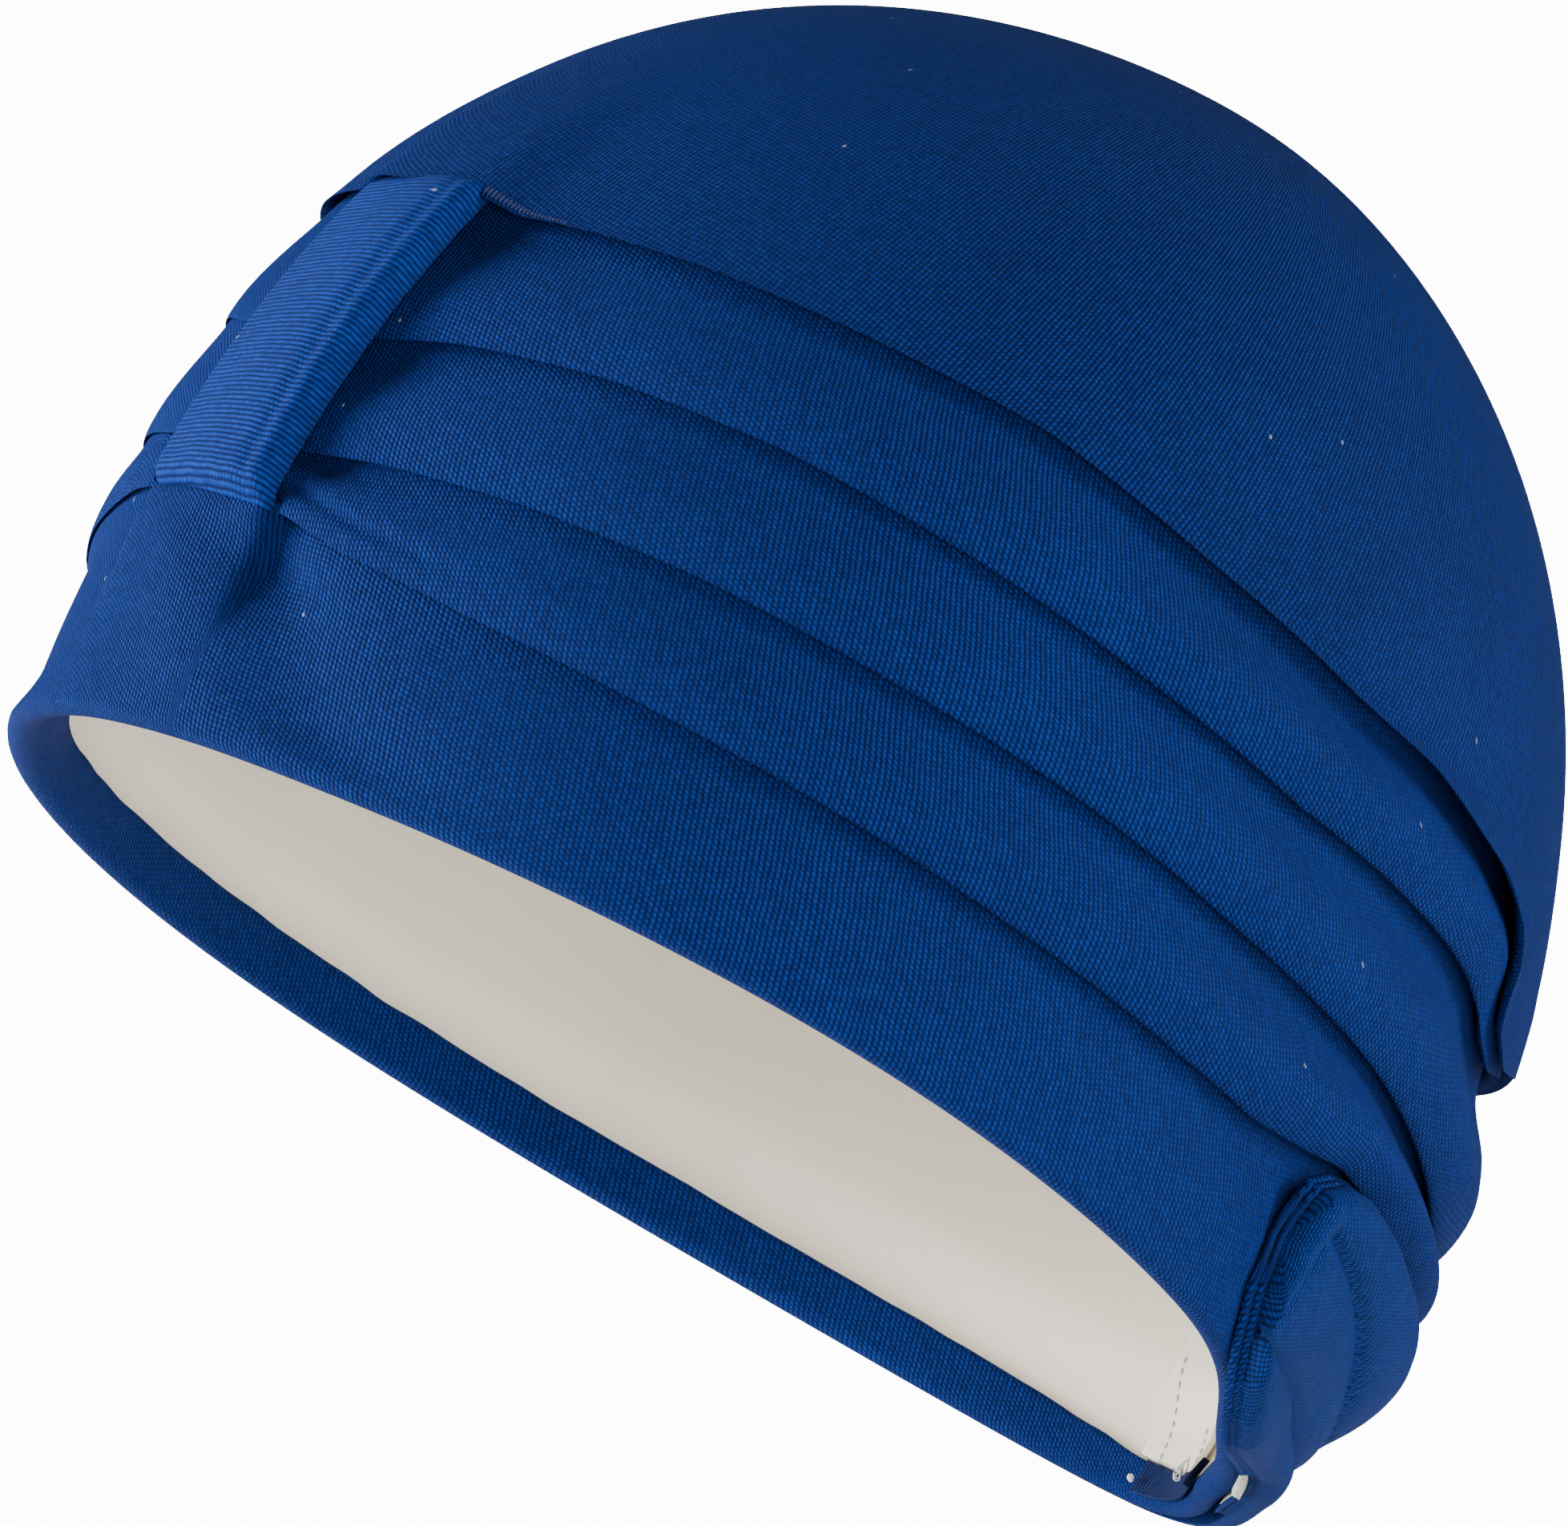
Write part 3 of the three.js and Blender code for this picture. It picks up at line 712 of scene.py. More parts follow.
def knit_group():
    """Columns of small slanted stitches, with every second column half a stitch higher."""
    if "Knit stitches" in bpy.data.node_groups:
        return bpy.data.node_groups["Knit stitches"]
    group, given, result = group_of(
        "Knit stitches",
        (
            ("Cloth", "NodeSocketVector", None),
            ("Wale", "NodeSocketFloat", 0.00062),
            ("Course", "NodeSocketFloat", 0.00066),
            ("Ridge", "NodeSocketFloat", 0.35),
        ),
        (("Height", "NodeSocketFloat"), ("Tone", "NodeSocketFloat"), ("Lint", "NodeSocketFloat")),
    )
    split = group.nodes.new("ShaderNodeSeparateXYZ")
    group.links.new(given.outputs["Cloth"], split.inputs[0])
    wander = noise_node(group, given.outputs["Cloth"], 260.0, 1.0)
    wander = math_node(group, "MULTIPLY", math_node(group, "SUBTRACT", wander, 0.5), 0.5)
    wales = math_node(group, "DIVIDE", split.outputs["X"], given.outputs["Wale"])
    wales = math_node(group, "ADD", wales, wander)
    courses = math_node(group, "DIVIDE", split.outputs["Y"], given.outputs["Course"])
    courses = math_node(group, "ADD", courses, wander)
    column = math_node(group, "FLOOR", wales)
    across = math_node(group, "FRACT", wales)
    slant = math_node(group, "MULTIPLY", across, 0.35)
    step = math_node(group, "ADD", math_node(group, "MULTIPLY", column, 0.5), slant)
    up = math_node(group, "ADD", courses, step)
    round_across = math_node(group, "SINE", math_node(group, "MULTIPLY", across, math.pi))
    wave = math_node(group, "COSINE", math_node(group, "MULTIPLY", up, 2 * math.pi))
    round_up = math_node(group, "MULTIPLY_ADD", wave, -0.5, 0.5)
    chain = math_node(group, "SUBTRACT", 1.0, given.outputs["Ridge"])
    along = math_node(group, "ADD", math_node(group, "MULTIPLY", round_up, chain), given.outputs["Ridge"])
    height = math_node(group, "MULTIPLY", round_across, along)
    cell = group.nodes.new("ShaderNodeCombineXYZ")
    group.links.new(column, cell.inputs[0])
    group.links.new(math_node(group, "FLOOR", up), cell.inputs[1])
    chance = group.nodes.new("ShaderNodeTexWhiteNoise")
    chance.noise_dimensions = "2D"
    group.links.new(cell.outputs[0], chance.inputs["Vector"])
    spread = math_node(group, "MULTIPLY_ADD", chance.outputs["Value"], 0.5, 0.75)
    # Shade and mottle: the stitch's height, which the knit paints as shade in each stitch's low parts and as
    # light on its crest, times a random tone for each stitch.
    shade_and_mottle = math_node(group, "MULTIPLY", height, spread)
    lint = math_node(group, "GREATER_THAN", chance.outputs["Value"], 0.99982)
    lint = math_node(group, "MULTIPLY", lint, math_node(group, "GREATER_THAN", height, 0.35))
    group.links.new(height, result.inputs["Height"])
    group.links.new(shade_and_mottle, result.inputs["Tone"])
    group.links.new(lint, result.inputs["Lint"])
    return group


def new_material(name):
    material = bpy.data.materials.new(name)
    material.use_nodes = True
    return material, material.node_tree, material.node_tree.nodes["Principled BSDF"]


def add_bump(tree, shader, height, strength, distance):
    bump = tree.nodes.new("ShaderNodeBump")
    bump.inputs["Strength"].default_value = strength
    bump.inputs["Distance"].default_value = distance
    tree.links.new(height, bump.inputs["Height"])
    tree.links.new(bump.outputs[0], shader.inputs["Normal"])


def knit_material(name, blue, cloth, turned=False, ridge=0.35, relief=1.4, sheen=0.06, depth=0.55):
    material, tree, shader = new_material(name)
    uv = tree.nodes.new("ShaderNodeUVMap")
    uv.uv_map = "cloth"
    turn = tree.nodes.new("ShaderNodeMapping")
    turn.inputs["Rotation"].default_value = (0, 0, math.pi / 2 if turned else 0)
    tree.links.new(uv.outputs[0], turn.inputs["Vector"])
    knit = tree.nodes.new("ShaderNodeGroup")
    knit.node_tree = knit_group()
    knit.inputs["Wale"].default_value = cloth.wale
    knit.inputs["Course"].default_value = cloth.course
    knit.inputs["Ridge"].default_value = ridge
    tree.links.new(turn.outputs[0], knit.inputs["Cloth"])
    place = tree.nodes.new("ShaderNodeTexCoord")
    cloudy = noise_node(tree, place.outputs["Object"], 26.0, 4.0)
    # Painted shade and highlight: the blue runs from a dark copy in each stitch's low parts to a light copy on
    # its crest, and depth sets how dark the painted shade goes.
    valley = tuple(x * 0.34 * depth for x in blue)
    lit_crest = tuple(min(x * 1.75, 1) for x in blue)
    colour = mix_colour(tree, knit.outputs["Tone"], valley, lit_crest)
    shade = math_node(tree, "MULTIPLY_ADD", cloudy, 0.5, 0.75)
    grey = tree.nodes.new("ShaderNodeCombineColor")
    for socket in grey.inputs[:3]:
        tree.links.new(shade, socket)
    colour = mix_colour(tree, 1.0, colour, grey.outputs[0], "MULTIPLY")
    colour = mix_colour(tree, knit.outputs["Lint"], colour, (0.14, 0.17, 0.32))
    tree.links.new(colour, shader.inputs["Base Color"])
    rough = math_node(tree, "MULTIPLY_ADD", knit.outputs["Tone"], -0.14, 0.86)
    tree.links.new(rough, shader.inputs["Roughness"])
    shader.inputs["Specular IOR Level"].default_value = 0.1
    shader.inputs["Sheen Weight"].default_value = sheen
    shader.inputs["Sheen Roughness"].default_value = 0.42
    shader.inputs["Sheen Tint"].default_value = (0.20, 0.33, 1.0, 1)
    add_bump(tree, shader, knit.outputs["Height"], 0.75 * relief, 0.00022)
    return material


def film_material(name, cream, rough=0.5):
    material, tree, shader = new_material(name)
    place = tree.nodes.new("ShaderNodeTexCoord")
    cloudy = noise_node(tree, place.outputs["Object"], 34.0, 4.0)
    fine = noise_node(tree, place.outputs["Object"], 2600.0, 2.0)
    colour = mix_colour(tree, cloudy, tuple(x * 0.93 for x in cream), tuple(min(x * 1.05, 1) for x in cream))
    tree.links.new(colour, shader.inputs["Base Color"])
    tree.links.new(math_node(tree, "MULTIPLY_ADD", fine, 0.18, rough), shader.inputs["Roughness"])
    shader.inputs["Specular IOR Level"].default_value = 0.3
    add_bump(tree, shader, fine, 0.25, 0.00012)
    return material


def thread_material(name, colour):
    material, tree, shader = new_material(name)
    place = tree.nodes.new("ShaderNodeTexCoord")
    twist = tree.nodes.new("ShaderNodeTexWave")
    twist.bands_direction = "DIAGONAL"
    twist.inputs["Scale"].default_value = 900.0
    twist.inputs["Distortion"].default_value = 1.5
    tree.links.new(place.outputs["Object"], twist.inputs["Vector"])
    shades = mix_colour(tree, twist.outputs["Fac"], tuple(x * 0.7 for x in colour), colour)
    tree.links.new(shades, shader.inputs["Base Color"])
    shader.inputs["Roughness"].default_value = 0.7
    add_bump(tree, shader, twist.outputs["Fac"], 0.5, 0.0001)
    return material


def finish(kind):
    """The shared finishes, each made the first time a piece asks for it."""
    name = "cap " + kind
    if name in bpy.data.materials:
        return bpy.data.materials[name]
    cloth = bpy.context.scene.cap_cloth
    blue = tuple(cloth.knit_blue)
    if kind == "knit":
        return knit_material(name, blue, cloth)
    # Painted shade: the crown's knit is the same knit made darker, for the shade that falls on the crown.
    if kind == "crown knit":
        return knit_material(name, tuple(x * 0.86 for x in blue), cloth)
    # Painted light: the front band's ribbed knit is the same knit made lighter, for the light that falls on the
    # front, with its ribs turned and raised.
    if kind == "ribbed knit":
        return knit_material(name, tuple(x * 1.08 for x in blue), cloth, turned=True, ridge=0.72, relief=1.2)
    if kind == "strap knit":
        return knit_material(name, (blue[0] * 1.5, blue[1] * 1.1, blue[2] * 0.95), cloth, relief=1.0)
    if kind == "dark knit":
        return knit_material(name, tuple(cloth.hem_blue), cloth, relief=1.2, sheen=0.15)
    if kind == "film":
        return film_material(name, tuple(cloth.film_cream))
    if kind == "tape":
        return film_material(name, (0.56, 0.54, 0.47), 0.7)
    if kind == "pale thread":
        return thread_material(name, (0.62, 0.62, 0.6))
    return thread_material(name, tuple(x * 0.8 for x in blue))


class CrownOperator(bpy.types.Operator):
    """Shape the smooth crown, whose lip laps over the upper fold"""

    bl_idname = "swim_cap.crown"
    bl_label = "Crown"

    def execute(self, context):
        cap = Cap(context)
        def section(angle):
            edge = cap.edge("upper", angle)
            rise = cap.crown_height - edge
            lip = [edge + cap.lap * s for s in shares(9, 1.8)]
            dome = [edge + cap.lap + (rise - cap.lap) * math.sin(math.pi / 2 * s) for s in shares(74)[1:]]
            outside = [(h, cap.crown_offset(angle, h)) for h in lip + dome[:-1]]
            tucked = cap.lap * 0.3
            inner = [edge + tucked + (rise - tucked) * math.sin(math.pi / 2 * s) for s in shares(16)]
            inside = [(h, cap.crown_offset(angle, h) - cap.wall_at(angle)) for h in inner[:-1]]
            path = [(cap.crown_height, -cap.wall), *reversed(inside), *outside, (cap.crown_height, 0)]
            return with_length(cap, angle, path)

        piece = round_shell(cap, "crown_cloth", cap.columns, section, -0.1, finish("crown knit"))
        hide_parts("crown")
        return {"FINISHED"}


class FoldsOperator(bpy.types.Operator):
    """Shape the three folds that run round the cap between the crown and the rim band"""

    bl_idname = "swim_cap.folds"
    bl_label = "Folds"

    def execute(self, context):
        cap = Cap(context)
        for name, column, above in (
            ("upper", "middle", "upper"),
            ("middle", "lower", "middle"),
            ("lower", "rim", "lower"),
        ):
            piece = self.fold(cap, name, column, above)
            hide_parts("pleat_" + name)
        return {"FINISHED"}

    def fold(self, cap, name, column, above):
        def offset_at(angle, edge, top, height):
            offset = cap.fold_offset(angle, edge, top, height, cap.hidden(angle, column))
            if column == "rim":
                offset -= 0.0024 * cap.band_foot(angle) * (1 - smooth((height - edge) / 0.004))
                groove = hump(height - edge, 0.0036, 0.0009) * smooth((46 - turn_from(angle, 0)) / 16)
                groove *= smooth((turn_from(angle, 0) - 12) / 6)
                offset -= 0.0008 * groove
            return offset

        def section(angle):
            edge = cap.edge(column, angle)
            top = cap.fold_top(angle, column, above)
            lip = [edge + cap.lap * s for s in shares(10, 1.6)]
            rest = [edge + cap.lap + (top - edge - cap.lap) * s for s in shares(26)[1:]]
            outside = [(h, offset_at(angle, edge, top, h)) for h in lip + rest]
            low = edge + cap.lap * 0.25
            inner = [low + (top - low) * s for s in shares(8)]
            inside = [(h, offset_at(angle, edge, top, h) - cap.wall_at(angle)) for h in inner]
            path = [*reversed(inside), *outside, inside[-1]]
            return with_length(cap, angle, path)

        return round_shell(cap, f"fold_{name}", cap.columns, section, 0.25, finish("knit"))


class RimBandOperator(bpy.types.Operator):
    """Shape the plain band above the rim, whose edge turns up inside as a hem"""

    bl_idname = "swim_cap.rim_band"
    bl_label = "Rim band"

    def execute(self, context):
        cap = Cap(context)
        def section(angle):
            edge = cap.edge("rim", angle)
            lifted = cap.band_foot(angle)
            top = edge + cap.lap * (1 - lifted) + 0.0004 * lifted
            roll = cap.hem_roll
            up = [roll + (top - roll) * s for s in shares(44)]

            def outside_at(height):
                rounding = lifted * 0.0012 * (1 - rounded((top - height) / 0.002))
                return cap.rim_offset(angle, height) - rounding

            outside = [(h, outside_at(h)) for h in up]
            inside = [(h, cap.rim_offset(angle, h) - cap.wall_at(angle)) for h in reversed(up[4::8])]
            wave = noise.noise(Vector((math.cos(math.radians(angle)), math.sin(math.radians(angle)), 0)) * 14)
            hem = cap.hem_at(angle) + 0.0003 * wave
            climbing = (roll + 0.0006, hem * 0.35, hem * 0.7, hem - 0.0003)
            leg_out = [(h, cap.hem_inner(angle, h)) for h in climbing]
            leg_in = [(hem, cap.hem_inner(angle, hem) - cap.film_wall * 0.35)]
            for share in (0.06, 0.2, 0.4, 0.6, 0.8, 1.0):
                height = hem + (roll - hem) * share
                leg_in.append((height, cap.hem_inner(angle, height) - cap.film_wall))
            start = cap.rim_offset(angle, roll)
            end = cap.hem_inner(angle, roll) - cap.film_wall
            middle = (start + end) / 2
            half = (start - end) / 2
            turns = [math.pi * s for s in shares(12)[1:-1]]
            bottom = [(roll * (1 - math.sin(t)), middle - half * math.cos(t)) for t in turns]
            path = [*inside, *leg_out, *leg_in, *bottom, *outside, inside[0]]
            return with_length(cap, angle, path)

        piece = round_shell(cap, "rim_band_cloth", 360, section, 0.22, finish("knit"))
        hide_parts("rim_band")
        return {"FINISHED"}


class FrontBandOperator(bpy.types.Operator):
    """Shape the upright band that gathers the folds at the front"""

    bl_idname = "swim_cap.front_band"
    bl_label = "Front band"

    def execute(self, context):
        cap = Cap(context)
        columns = 40
        rows = 90
        middle = (cap.edge("rim", cap.band_angle) + cap.edge("upper", cap.band_angle)) / 2
        half = cap.band_width / 2 / cap.metres_per_degree(cap.band_angle, middle)

        def where(across, share):
            line = cap.band_angle + BAND_SHIFT + 0.6 * share
            angle = line + (2 * across - 1) * half * (0.88 - 0.03 * share)
            foot = cap.edge("rim", angle) - 0.0012
            head = cap.edge("upper", angle) + 0.0024
            return angle, foot + (head - foot) * share

        def floor_at(across, share):
            sink = 0.0024 * (1 - smooth(share / 0.07))
            return cap.lip_stand + cap.gap - sink

        def top(i, j):
            across = i / columns
            share = j / rows
            angle, height = where(across, share)
            thick = 0.0010 + 0.0026 * smooth(across)
            left = rounded(across / 0.09)
            right = rounded((1 - across) / 0.11)
            foot = rounded(share / 0.1)
            head = rounded((1 - share) / 0.07)
            belly = 0.0007 * 4 * share * (1 - share) * across
            dip = 0.0005 * hump(across, 0.86, 0.05)
            stand = (thick + belly - dip) * left * right * foot * head
            return cap.point(angle, height, floor_at(across, share) + stand)

        def bottom(i, j):
            across = i / columns
            share = j / rows
            angle, height = where(across, share)
            return cap.point(angle, height, floor_at(across, share))

        def cloth(i, j):
            return (cap.band_width * i / columns, 0.046 * j / rows)

        piece = pillow("front_band_cloth", columns, rows, top, bottom, cloth, finish("ribbed knit"))
        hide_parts("front_band")
        return {"FINISHED"}


class LiningOperator(bpy.types.Operator):
    """Shape the smooth film lining and the panel sewn into its back"""

    bl_idname = "swim_cap.lining"
    bl_label = "Lining"

    def execute(self, context):
        cap = Cap(context)
        def section(angle):
            start = cap.hem_roll + cap.gap
            band = [start + (0.08 - start) * s for s in shares(26)]
            dome = [0.08 + (cap.crown_height - 0.08) * math.sin(math.pi / 2 * s) for s in shares(30)[1:]]
            heights = band + dome[:-1]
            outside = [(h, cap.lining_offset(angle, h)) for h in heights]
            inside = [(h, offset - cap.film_wall) for h, offset in outside]
            pole = cap.tuck(180) - cap.wall - cap.gap
            inner_pole = (cap.crown_height, pole - cap.film_wall)
            path = [inner_pole, *reversed(inside), *outside, (cap.crown_height, pole)]
            return with_length(cap, angle, path)

        piece = round_shell(cap, "lining_film", 240, section, 0.0, finish("film"))
        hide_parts("lining")

        def panel_at(across, up, lift):
            angle = 187 + 10.5 * across
            low = cap.hem_at(angle) + cap.gap
            height = low + (0.046 - low) * up
            inner = cap.lining_offset(angle, height) - cap.film_wall - 2 * cap.gap
            return cap.point(angle, height, inner - cap.film_wall + lift)

        def cloth(i, j):
            return (i * 0.0006, j * 0.0011)

        panel = cloth_strip("back_panel", 20, 30, panel_at, cap.film_wall, cloth, finish("film"))
        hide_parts("lining_panel")
        return {"FINISHED"}


class HemEndOperator(bpy.types.Operator):
    """Shape the dark end of the hem inside the back, its thread ends and the stitch rows"""

    bl_idname = "swim_cap.hem_end"
    bl_label = "Hem end"

    def execute(self, context):
        cap = Cap(context)
        def end_at(across, up, lift):
            angle = 174 + 21.5 * across
            low = cap.hem_roll * 0.4
            height = low + (cap.hem_at(angle) - 0.0002 - low) * up
            inner = cap.hem_inner(angle, height) - cap.film_wall - cap.gap
            return cap.point(angle, height, inner - 0.001 + lift)

        def cloth(i, j):
            return (i * 0.0006, j * 0.001)

        piece = cloth_strip("hem_end_cloth", 40, 8, end_at, 0.001, cloth, finish("dark knit"))
        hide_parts("hem_end")
        self.stitches(cap)
        self.thread_ends(cap)
        return {"FINISHED"}

    def stitches(self, cap):
        bm = bmesh.new()
        for row in STITCH_ROWS:
            places = []
            for i in range(row["count"] * 2 + 1):
                share = i / (row["count"] * 2)
                angle = row["top_angle"] + (row["low_angle"] - row["top_angle"]) * share
                height = row["top"] + (row["low"] - row["top"]) * share
                offset = cap.lining_offset(angle, height) - 2 * cap.film_wall - 2 * cap.gap - 0.0001
                places.append(cap.point(angle, height, offset))
            for i in range(0, len(places) - 1, 2):
                dash(bm, places[i], places[i] + (places[i + 1] - places[i]) * 1.25, 0.00014)
        piece = new_object("lining_stitches", bm, finish("pale thread"))

    def thread_ends(self, cap):
        bm = bmesh.new()
        for angle, height, size in ((195.3, 0.0016, 0.0005), (195.0, 0.0013, 0.00034)):
            offset = cap.hem_inner(angle, height) - 2 * cap.film_wall - cap.gap - 0.0016
            place = cap.point(angle, height, offset)
            bmesh.ops.create_icosphere(bm, subdivisions=2, radius=size, matrix=Matrix.Translation(place))
        for angle, height, wide, tall, twist in (
            (183.4, 0.0046, 0.0010, 0.0013, 0.2),
            (184.2, 0.0038, 0.0008, 0.0010, 0.9),
            (182.9, 0.0030, 0.0006, 0.0008, -0.5),
        ):
            offset = cap.hem_inner(angle, height) - 2 * cap.film_wall - cap.gap - 0.0012
            steps = 14
            points = []
            for i in range(steps):
                t = 2 * math.pi * i / steps + twist
                at = angle + math.cos(t) * wide / cap.metres_per_degree(angle, height)
                points.append(cap.point(at, height + math.sin(t) * tall, offset + 0.0003 * math.sin(2 * t)))
            ring_thread(bm, points, 0.00013)
        piece = new_object("thread_ends", bm, finish("pale thread"))


def dash(bm, start, end, radius):
    """A short stitch that lies between two points."""
    length = (end - start).length
    turn = (end - start).to_track_quat("Z", "Y").to_matrix().to_4x4()
    place = Matrix.Translation((start + end) / 2) @ turn @ Matrix.Diagonal((1, 1, length / 2 / radius, 1))
    bmesh.ops.create_icosphere(bm, subdivisions=2, radius=radius, matrix=place)


def ring_thread(bm, points, radius):
    """A closed loop of thread through the points."""
    loops = []
    for i, point in enumerate(points):
        ahead = points[(i + 1) % len(points)] - points[i - 1]
        turn = ahead.to_track_quat("Z", "Y").to_matrix().to_4x4()
        made = bmesh.ops.create_circle(bm, segments=6, radius=radius, matrix=Matrix.Translation(point) @ turn)
        loops.append(made["verts"])
    for i, ring in enumerate(loops):
        after = loops[(i + 1) % len(loops)]
        edges = [e for v in (*ring, *after) for e in v.link_edges]
        edges = {e for e in edges if (e.verts[0] in ring) == (e.verts[1] in ring)}
        edges = {e for e in edges if all(v in ring or v in after for v in e.verts)}
        bmesh.ops.bridge_loops(bm, edges=list(edges))


class StrapOperator(bpy.types.Operator):
    """Shape the padded strap at the nape, the cloth layers under it and its pale backing"""

    bl_idname = "swim_cap.strap"
    bl_label = "Strap"

    def execute(self, context):
        cap = Cap(context)
        stations = [0.0]
        angle = cap.strap_tip_angle
        angles = [angle]
        while stations[-1] < cap.strap_length:
            angle += STRAP_STEP / cap.metres_per_degree(angle, cap.strap_width / 2)
            stations.append(stations[-1] + STRAP_STEP)
            angles.append(angle)

        def angle_at(distance):
            place = distance / STRAP_STEP
            index = int(clamp(place, 0, len(angles) - 2))
            return angles[index] + (angles[index + 1] - angles[index]) * (place - index)

        def edges_at(along, grow):
            risen = cap.strap_rise * smooth((along - 0.18) / 0.24)
            middle = cap.strap_width / 2 - cap.strap_drop + risen
            up = look_up(STRAP_END, "along", "up", along) * cap.strap_width / 2 + grow
            down = look_up(STRAP_END, "along", "down", along) * cap.strap_width / 2 + grow
            return middle - down, middle + up

        self.padded_strap(cap, angle_at, edges_at)
        for layer in STRAP_LAYERS:
            self.layer(cap, angle_at, edges_at, layer)
        self.backing(cap)
        return {"FINISHED"}

    def padded_strap(self, cap, angle_at, edges_at):
        columns = 250
        rows = 90
        lift = 0.001 + 2 * cap.gap

        def place(i, j, raised):
            along = (i / columns) ** 1.7
            across = crowded(j / rows)
            distance = along * cap.strap_length
            low, high = edges_at(along, 0)
            height = low + (high - low) * across
            angle = angle_at(distance)
            side = min(across, 1 - across) * (high - low)
            border = min(side, distance, cap.strap_length - distance)
            pad = self.padding(cap, distance, height, border) if raised else 0
            return cap.point(angle, height, cap.strap_base(angle, height) + lift + pad)

        def cloth(i, j):
            along = (i / columns) ** 1.7
            low, high = edges_at(along, 0)
            across = crowded(j / rows)
            distance = along * cap.strap_length
            climbs = [
                cap.strap_pad * rounded(border / STRAP_EDGE)
                for border in (distance, across * (high - low), (1 - across) * (high - low))
            ]
            return (distance + climbs[0], low + (high - low) * across + climbs[1] - climbs[2])

        piece = pillow(
            "strap_padded", columns, rows,
            lambda i, j: place(i, j, 1), lambda i, j: place(i, j, 0), cloth, finish("strap knit"),
        )
        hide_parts("closure_strap")

    def padding(self, cap, distance, height, border):
        """The padding stands high between the strap's edge and the sewn line, and lower in the patch."""
        best, run, inside = self.sewn_line(distance, height)
        sewn = cap.strap_pad * 0.3
        pucker = 0.00003 * math.sin(2 * math.pi * run / 0.0021) * math.exp(-best / 0.0013)
        if inside:
            return sewn + cap.strap_pad * 0.42 * (1 - math.exp(-best / 0.0018)) + pucker
        across = border / (border + best + 1e-6)
        arch = clamp(4 * across * (1 - across)) ** 0.42
        round_side = rounded(border / STRAP_EDGE)
        return (sewn + pucker) * round_side + (cap.strap_pad - sewn) * arch

    def sewn_line(self, distance, height):
        """How far a place is from the sewn line, where along the line, and whether inside it."""
        best = 1.0
        best_run = 0.0
        run = 0.0
        inside = False
        for (x0, y0), (x1, y1) in zip(PATCH_LINE, PATCH_LINE[1:]):
            dx = x1 - x0
            dy = y1 - y0
            length = math.hypot(dx, dy)
            t = clamp(((distance - x0) * dx + (height - y0) * dy) / length ** 2)
            off = math.hypot(distance - x0 - t * dx, height - y0 - t * dy)
            if off < best:
                best = off
                best_run = run + t * length
            run += length
        last = PATCH_LINE[-1]
        for corner in PATCH_LINE:
            (x0, y0), (x1, y1) = last, corner
            if (y0 > height) != (y1 > height) and distance < (x1 - x0) * (height - y0) / (y1 - y0) + x0:
                inside = not inside
            last = corner
        return best, best_run, inside

    def layer(self, cap, angle_at, edges_at, layer):
        """A layer of cloth whose edge shows beside the strap."""
        columns = 150
        rows = 40
        length = cap.strap_length * LAYER_SHARE

        def place(i, j, raised):
            along = (i / columns) ** 1.4
            distance = along * length - layer["grow"]
            low, high = edges_at(along * LAYER_SHARE, 0)
            low -= layer["grow"] * 0.8
            high += layer["grow"] * 0.3
            across = j / rows
            height = low + (high - low) * across
            angle = angle_at(max(distance, 0)) + min(distance, 0) / cap.metres_per_degree(124, 0.01)
            ends = min(distance + layer["grow"], length - layer["grow"] - distance)
            border = min(min(across, 1 - across) * (high - low), ends)
            offset = cap.strap_base(angle, height) + layer["rise"]
            return cap.point(angle, height, offset + raised * LAYER_WALL * rounded(border / LAYER_EDGE))

        def cloth(i, j):
            return (length * (i / columns) ** 1.4, 0.03 * j / rows)

        piece = pillow(
            layer["name"], columns, rows,
            lambda i, j: place(i, j, 1), lambda i, j: place(i, j, 0), cloth, finish("knit"),
        )

    def backing(self, cap):
        def tape_at(across, up, lift):
            angle = 155 + 17 * across
            low = -0.0022 + 0.003 * smooth(across * 1.4)
            height = low + 0.0205 * up
            return cap.point(angle, height, cap.under_strap(angle, height) + lift)

        def cloth(i, j):
            return (i * 0.0005, j * 0.001)

        tape = cloth_strip("strap_tape", 60, 20, tape_at, 0.001, cloth, finish("tape"))
        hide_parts("strap_backing")


class SeamOperator(bpy.types.Operator):
    """Set the small gathered stitches at the front band's upper corner"""

    bl_idname = "swim_cap.seam"
    bl_label = "Corner stitches"

    def execute(self, context):
        cap = Cap(context)
        bm = bmesh.new()
        for i in range(22):
            angle = 21.5 + 0.42 * i
            edge = cap.edge("upper", angle)
            tall = 0.0016 * (1 - 0.55 * smooth(i / 21))
            low = cap.point(angle, edge + 0.0003, cap.crown_offset(angle, edge + 0.0003) + 0.00004)
            high = cap.point(angle + 0.1, edge + tall, cap.crown_offset(angle, edge + tall) + 0.00006)
            dash(bm, low, high, 0.00019)
        piece = new_object("corner_stitches", bm, finish("blue thread"))
        return {"FINISHED"}


